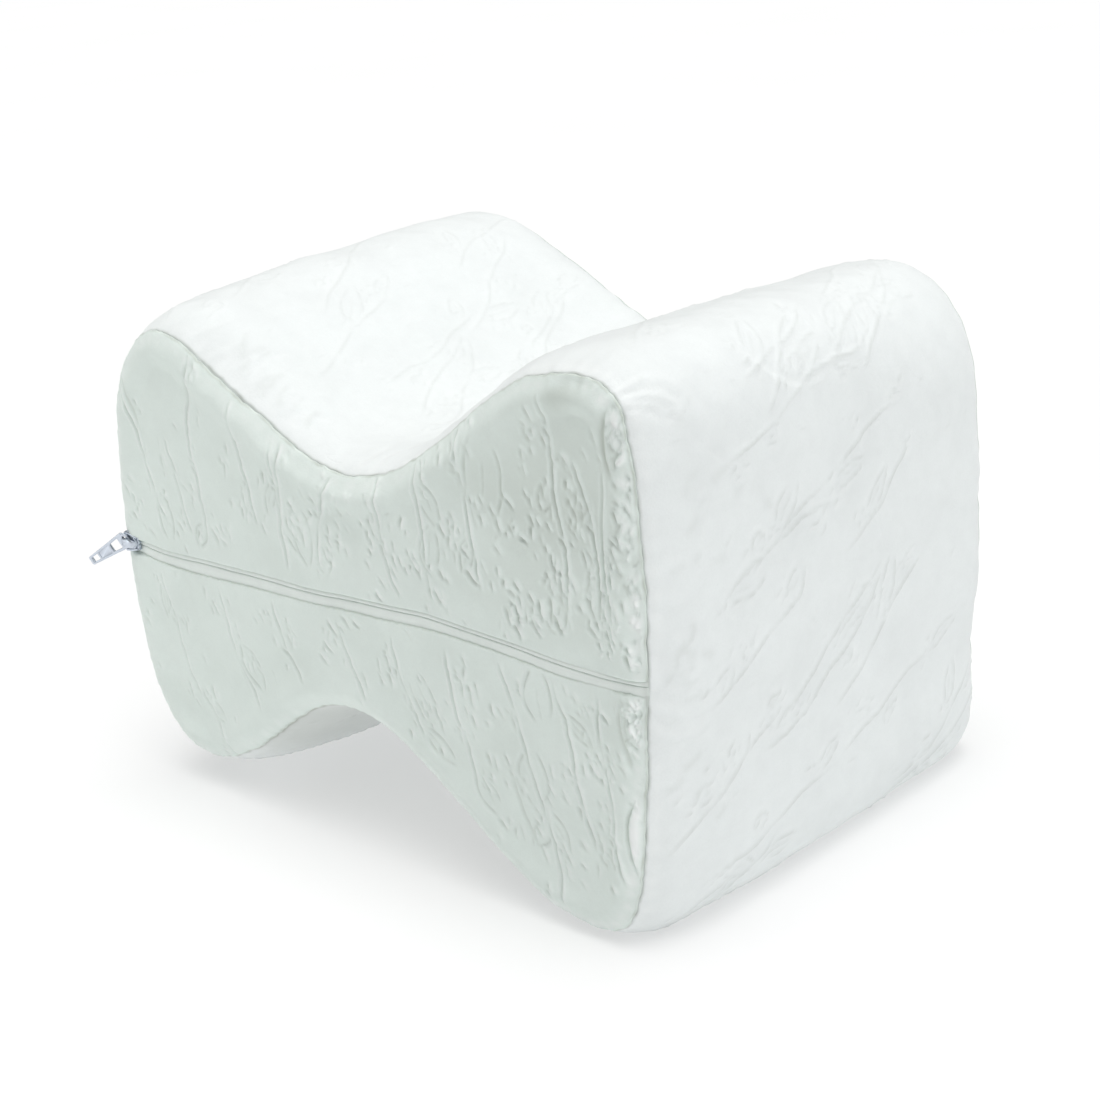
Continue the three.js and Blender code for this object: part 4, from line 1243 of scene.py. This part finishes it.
def velour(name, base, deep, crease_stretch):
    m, nt, bsdf = new_material(name)
    co = nt.nodes.new("ShaderNodeTexCoord").outputs["Object"]
    att = nt.nodes.new("ShaderNodeAttribute")
    att.attribute_name = "shade"
    clouds = noise(nt, co, 38, 4, 0.6)
    crushed = noise(nt, co, 210, 3, 0.55, None, 0.4)
    pile = noise(nt, co, 1500, 2, 0.6)
    fibre = noise(nt, co, 4200, 1, 0.5)
    tint = ramp(nt, clouds, ((0.30, tuple(c * 0.965 for c in base)), (0.5, base), (0.72, tuple(min(1, c * 1.02) for c in base))))
    tint = mix(nt, maths(nt, "MULTIPLY", maths(nt, "SUBTRACT", 0.62, crushed, True), 0.55), tint, tuple(c * 0.90 for c in base))
    tint = mix(nt, maths(nt, "MULTIPLY", maths(nt, "SUBTRACT", 0.58, pile, True), 0.5), tint, tuple(c * 0.86 for c in base))
    # the shade attribute paints shade towards the deep colour below 1, and painted highlights towards a near white
    # above 1
    tint = mix(nt, maths(nt, "SUBTRACT", 1.0, att.outputs["Fac"], True), tint, deep)
    tint = mix(nt, maths(nt, "SUBTRACT", att.outputs["Fac"], 1.0, True), tint, (0.96, 0.985, 0.975))
    nt.links.new(tint, bsdf.inputs["Base Color"])
    # fine winding press lines where a noise crosses its middle, kept in patches
    warp = noise(nt, co, 46, 2, 0.5, crease_stretch, 0.9)
    line = maths(nt, "ABSOLUTE", maths(nt, "SUBTRACT", warp, 0.5))
    line = maths(nt, "SUBTRACT", 1.0, maths(nt, "DIVIDE", line, 0.010), True)
    patch = maths(nt, "MULTIPLY", maths(nt, "SUBTRACT", noise(nt, co, 30, 1, 0.5), 0.50, True), 5.0, True)
    line = maths(nt, "MULTIPLY", line, patch)
    b = bump_node(nt, maths(nt, "SUBTRACT", 1.0, line), 0.20, 0.0003)
    b = bump_node(nt, crushed, 0.30, 0.0006, b)
    b = bump_node(nt, pile, 0.32, 0.00022, b)
    b = bump_node(nt, fibre, 0.20, 0.00010, b)
    nt.links.new(b, bsdf.inputs["Normal"])
    rough = ramp(nt, crushed, ((0.3, (0.80, 0.80, 0.80)), (0.7, (0.93, 0.93, 0.93))))
    nt.links.new(rough, bsdf.inputs["Roughness"])
    bsdf.inputs["Specular IOR Level"].default_value = 0.22
    bsdf.inputs["Sheen Weight"].default_value = 0.22
    bsdf.inputs["Sheen Roughness"].default_value = 0.45
    bsdf.inputs["Sheen Tint"].default_value = (1, 1, 1, 1)
    return m


def tape_cloth(name, base, deep):
    m, nt, bsdf = new_material(name)
    co = nt.nodes.new("ShaderNodeTexCoord").outputs["Object"]
    att = nt.nodes.new("ShaderNodeAttribute")
    att.attribute_name = "shade"
    sep = nt.nodes.new("ShaderNodeSeparateXYZ")
    nt.links.new(co, sep.inputs[0])
    # slanting twill ribs, and cross threads
    u = maths(nt, "ADD", maths(nt, "MULTIPLY", sep.outputs["X"], 9500.0), maths(nt, "MULTIPLY", sep.outputs["Z"], 6200.0))
    ribs = maths(nt, "ADD", maths(nt, "MULTIPLY", maths(nt, "SINE", u), 0.5), 0.5)
    v = maths(nt, "MULTIPLY", sep.outputs["Z"], 14500.0)
    rows = maths(nt, "ADD", maths(nt, "MULTIPLY", maths(nt, "SINE", v), 0.5), 0.5)
    weave = maths(nt, "MAXIMUM", ribs, maths(nt, "MULTIPLY", rows, 0.8))
    wear = noise(nt, co, 160, 3, 0.6)
    tint = ramp(nt, wear, ((0.3, tuple(c * 0.97 for c in base)), (0.7, base)))
    tint = mix(nt, maths(nt, "MULTIPLY", maths(nt, "SUBTRACT", 1.0, weave), 0.10), tint, tuple(c * 0.7 for c in base))
    # the shade attribute paints shade towards the deep colour below 1, and painted highlights towards a near white
    # above 1
    tint = mix(nt, maths(nt, "SUBTRACT", 1.0, att.outputs["Fac"], True), tint, deep)
    tint = mix(nt, maths(nt, "SUBTRACT", att.outputs["Fac"], 1.0, True), tint, (0.96, 0.985, 0.975))
    nt.links.new(tint, bsdf.inputs["Base Color"])
    b = bump_node(nt, weave, 0.22, 0.00012)
    b = bump_node(nt, wear, 0.2, 0.0004, b)
    nt.links.new(b, bsdf.inputs["Normal"])
    nt.links.new(ramp(nt, wear, ((0.3, (0.62, 0.62, 0.62)), (0.7, (0.76, 0.76, 0.76)))), bsdf.inputs["Roughness"])
    bsdf.inputs["Specular IOR Level"].default_value = 0.35
    bsdf.inputs["Sheen Weight"].default_value = 0.10
    bsdf.inputs["Sheen Roughness"].default_value = 0.4
    return m


def metal(name, light, recess_shade_colour):
    m, nt, bsdf = new_material(name)
    co = nt.nodes.new("ShaderNodeTexCoord").outputs["Object"]
    stain = noise(nt, co, 420, 4, 0.6)
    grain = noise(nt, co, 3600, 2, 0.5, (1.0, 1.0, 0.35))
    geo = nt.nodes.new("ShaderNodeNewGeometry")
    # painted highlight on sharp convex edges and painted shade in hollows, both driven by pointiness
    edge = maths(nt, "MULTIPLY", maths(nt, "SUBTRACT", geo.outputs["Pointiness"], 0.5, True), 6.0, True)
    recess_shade = maths(nt, "MULTIPLY", maths(nt, "SUBTRACT", 0.5, geo.outputs["Pointiness"], True), 7.0, True)
    tint = ramp(nt, stain, ((0.3, tuple(c * 0.88 for c in light)), (0.7, light)))
    tint = mix(nt, edge, tint, tuple(min(1, c * 1.18) for c in light))
    tint = mix(nt, recess_shade, tint, recess_shade_colour)
    nt.links.new(tint, bsdf.inputs["Base Color"])
    bsdf.inputs["Metallic"].default_value = 1.0
    nt.links.new(ramp(nt, stain, ((0.25, (0.30, 0.30, 0.30)), (0.75, (0.44, 0.44, 0.44)))), bsdf.inputs["Roughness"])
    b = bump_node(nt, grain, 0.10, 0.00008)
    b = bump_node(nt, stain, 0.10, 0.0003, b)
    nt.links.new(b, bsdf.inputs["Normal"])
    return m


mat_band = velour("velour_band", (0.846, 0.880, 0.876), (0.50, 0.53, 0.49), (0.6, 0.45, 1.0))
# the end panels' velour is a darker, greener copy of the band's: painted shade for the end faces
mat_end = velour("velour_end", (0.812, 0.888, 0.848), (0.46, 0.50, 0.44), (1.3, 1.0, 0.42))
mat_tape = tape_cloth("zip_tape", (0.855, 0.912, 0.880), (0.42, 0.46, 0.42))
mat_metal = metal("zip_metal", (0.60, 0.645, 0.72), (0.20, 0.22, 0.27))

# ---------------------------------------------------------------- camera, before the pieces

AZ, EL, ROLL = math.radians(43.69), math.radians(19.18), math.radians(-4.19)
back = Vector((math.sin(AZ) * math.cos(EL), -math.cos(AZ) * math.cos(EL), math.sin(EL)))
right = Vector((0, 0, 1)).cross(back).normalized()
up = back.cross(right)
x2 = right * math.cos(ROLL) + up * math.sin(ROLL)
y2 = right * -math.sin(ROLL) + up * math.cos(ROLL)
eye = Vector((0.01090, -0.00068, 0.08223)) + back * 0.6795
cam_data = bpy.data.cameras.new("camera")
cam_data.lens, cam_data.sensor_width, cam_data.sensor_fit = 1953.64 / 1100 * 36, 36, "HORIZONTAL"
cam_data.clip_start, cam_data.clip_end = 0.01, 50
cam = bpy.data.objects.new("camera", cam_data)
bpy.context.scene.collection.objects.link(cam)
cam.matrix_world = Matrix(((x2[0], y2[0], back[0], eye[0]), (x2[1], y2[1], back[1], eye[1]), (x2[2], y2[2], back[2], eye[2]), (0, 0, 0, 1)))
bpy.context.scene.camera = cam

# ---------------------------------------------------------------- pieces

front = front_relief()
front_detail(front)
rim_front = Rim(-1)

band = build_band()
upper, upper_area, upper_rim = build_half_panel("panel_zip_upper", True, front, rim_front)
lower, lower_area, lower_rim = build_half_panel("panel_zip_lower", False, front, rim_front)
far, far_area, far_rim = build_far_panel(far_relief())
tape_up = build_tape("tape_upper", True)
tape_low = build_tape("tape_lower", False)
slider = build_slider()
pull = build_pull()

for ob, mat, nodes, slot in (
    (band, mat_band, ("filled_body",), "velour_band"),
    (upper, mat_end, ("end_panel_zip_upper",), "velour_end"),
    (lower, mat_end, ("end_panel_zip_lower",), "velour_end"),
    (far, mat_end, ("end_panel_far",), "velour_end"),
    (tape_up, mat_tape, ("zip_tape_upper",), "zip_tape"),
    (tape_low, mat_tape, ("zip_tape_lower",), "zip_tape"),
    (slider, mat_metal, ("zip_slider",), "zip_metal"),
    (pull, mat_metal, ("zip_pull",), "zip_metal"),
):
    ob.data.materials.clear()
    ob.data.materials.append(mat)
    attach(ob, "root")
    if nodes:
        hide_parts(*nodes)

# ---------------------------------------------------------------- floor and light

floor_me = bpy.data.meshes.new("floor")
floor_me.from_pydata([(-12, -12, 0), (12, -12, 0), (12, 12, 0), (-12, 12, 0)], [], [(0, 1, 2, 3)])
floor = bpy.data.objects.new("floor", floor_me)
bpy.context.scene.collection.objects.link(floor)
m, nt, bsdf = new_material("floor_white")
fco = nt.nodes.new("ShaderNodeTexCoord").outputs["Object"]
nt.links.new(ramp(nt, noise(nt, fco, 3, 2), ((0.3, (0.565, 0.57, 0.57)), (0.7, (0.58, 0.58, 0.58)))), bsdf.inputs["Base Color"])
bsdf.inputs["Roughness"].default_value = 0.9
bsdf.inputs["Specular IOR Level"].default_value = 0.1
bsdf.inputs["Emission Color"].default_value = (1, 1, 1, 1)
bsdf.inputs["Emission Strength"].default_value = 0.38
floor.data.materials.append(m)

world = bpy.data.worlds.new("studio")
bpy.context.scene.world = world
world.use_nodes = True
wt = world.node_tree
wt.nodes.clear()
wout = wt.nodes.new("ShaderNodeOutputWorld")
tex = wt.nodes.new("ShaderNodeTexCoord")
grad = wt.nodes.new("ShaderNodeSeparateXYZ")
wt.links.new(tex.outputs["Generated"], grad.inputs[0])
direction = tex.outputs["Generated"]


def soft_light(towards, power, strength, colour):
    """A broad soft light in the sky about one direction."""
    d = wt.nodes.new("ShaderNodeVectorMath")
    d.operation = "DOT_PRODUCT"
    wt.links.new(direction, d.inputs[0])
    d.inputs[1].default_value = Vector(towards).normalized()
    f = maths(wt, "MULTIPLY", maths(wt, "POWER", maths(wt, "MAXIMUM", d.outputs["Value"], 0.0), power), strength)
    b = wt.nodes.new("ShaderNodeBackground")
    b.inputs["Color"].default_value = (*colour, 1)
    wt.links.new(f, b.inputs["Strength"])
    return b


SKY = (
    ((0.06, 0.0, 1.0), 8, 4.95, (1.0, 0.99, 0.985)),
    ((1.0, 0.0, 0.18), 6, 1.50, (0.965, 0.99, 1.0)),
    ((-1.0, 0.2, 0.18), 3, 0.25, (0.94, 1.0, 0.96)),
)
total = None
for item in SKY:
    b = soft_light(*item)
    if total is None:
        total = b.outputs[0]
    else:
        add = wt.nodes.new("ShaderNodeAddShader")
        wt.links.new(total, add.inputs[0])
        wt.links.new(b.outputs[0], add.inputs[1])
        total = add.outputs[0]
plain = wt.nodes.new("ShaderNodeBackground")
plain.inputs["Color"].default_value = (1, 1, 1, 1)
plain.inputs["Strength"].default_value = 1.0
path = wt.nodes.new("ShaderNodeLightPath")
both = wt.nodes.new("ShaderNodeMixShader")
wt.links.new(path.outputs["Is Camera Ray"], both.inputs[0])
wt.links.new(total, both.inputs[1])
wt.links.new(plain.outputs[0], both.inputs[2])
wt.links.new(both.outputs[0], wout.inputs["Surface"])


def area_light(name, at, towards, size, power, colour=(1, 1, 1)):
    d = bpy.data.lights.new(name, "AREA")
    d.shape, d.size, d.energy, d.color = "DISK", size, power, colour
    o = bpy.data.objects.new(name, d)
    bpy.context.scene.collection.objects.link(o)
    o.location = at
    o.rotation_mode = "QUATERNION"
    o.rotation_quaternion = (Vector(towards) - Vector(at)).to_track_quat("-Z", "Y")
    return o


area_light("near_left", (-0.42, -0.50, 0.16), (-0.06, -0.08, 0.07), 0.30, 0.42, (0.95, 1.0, 0.96))

bpy.context.scene.view_settings.view_transform = "Standard"
bpy.context.scene.view_settings.look = "None"
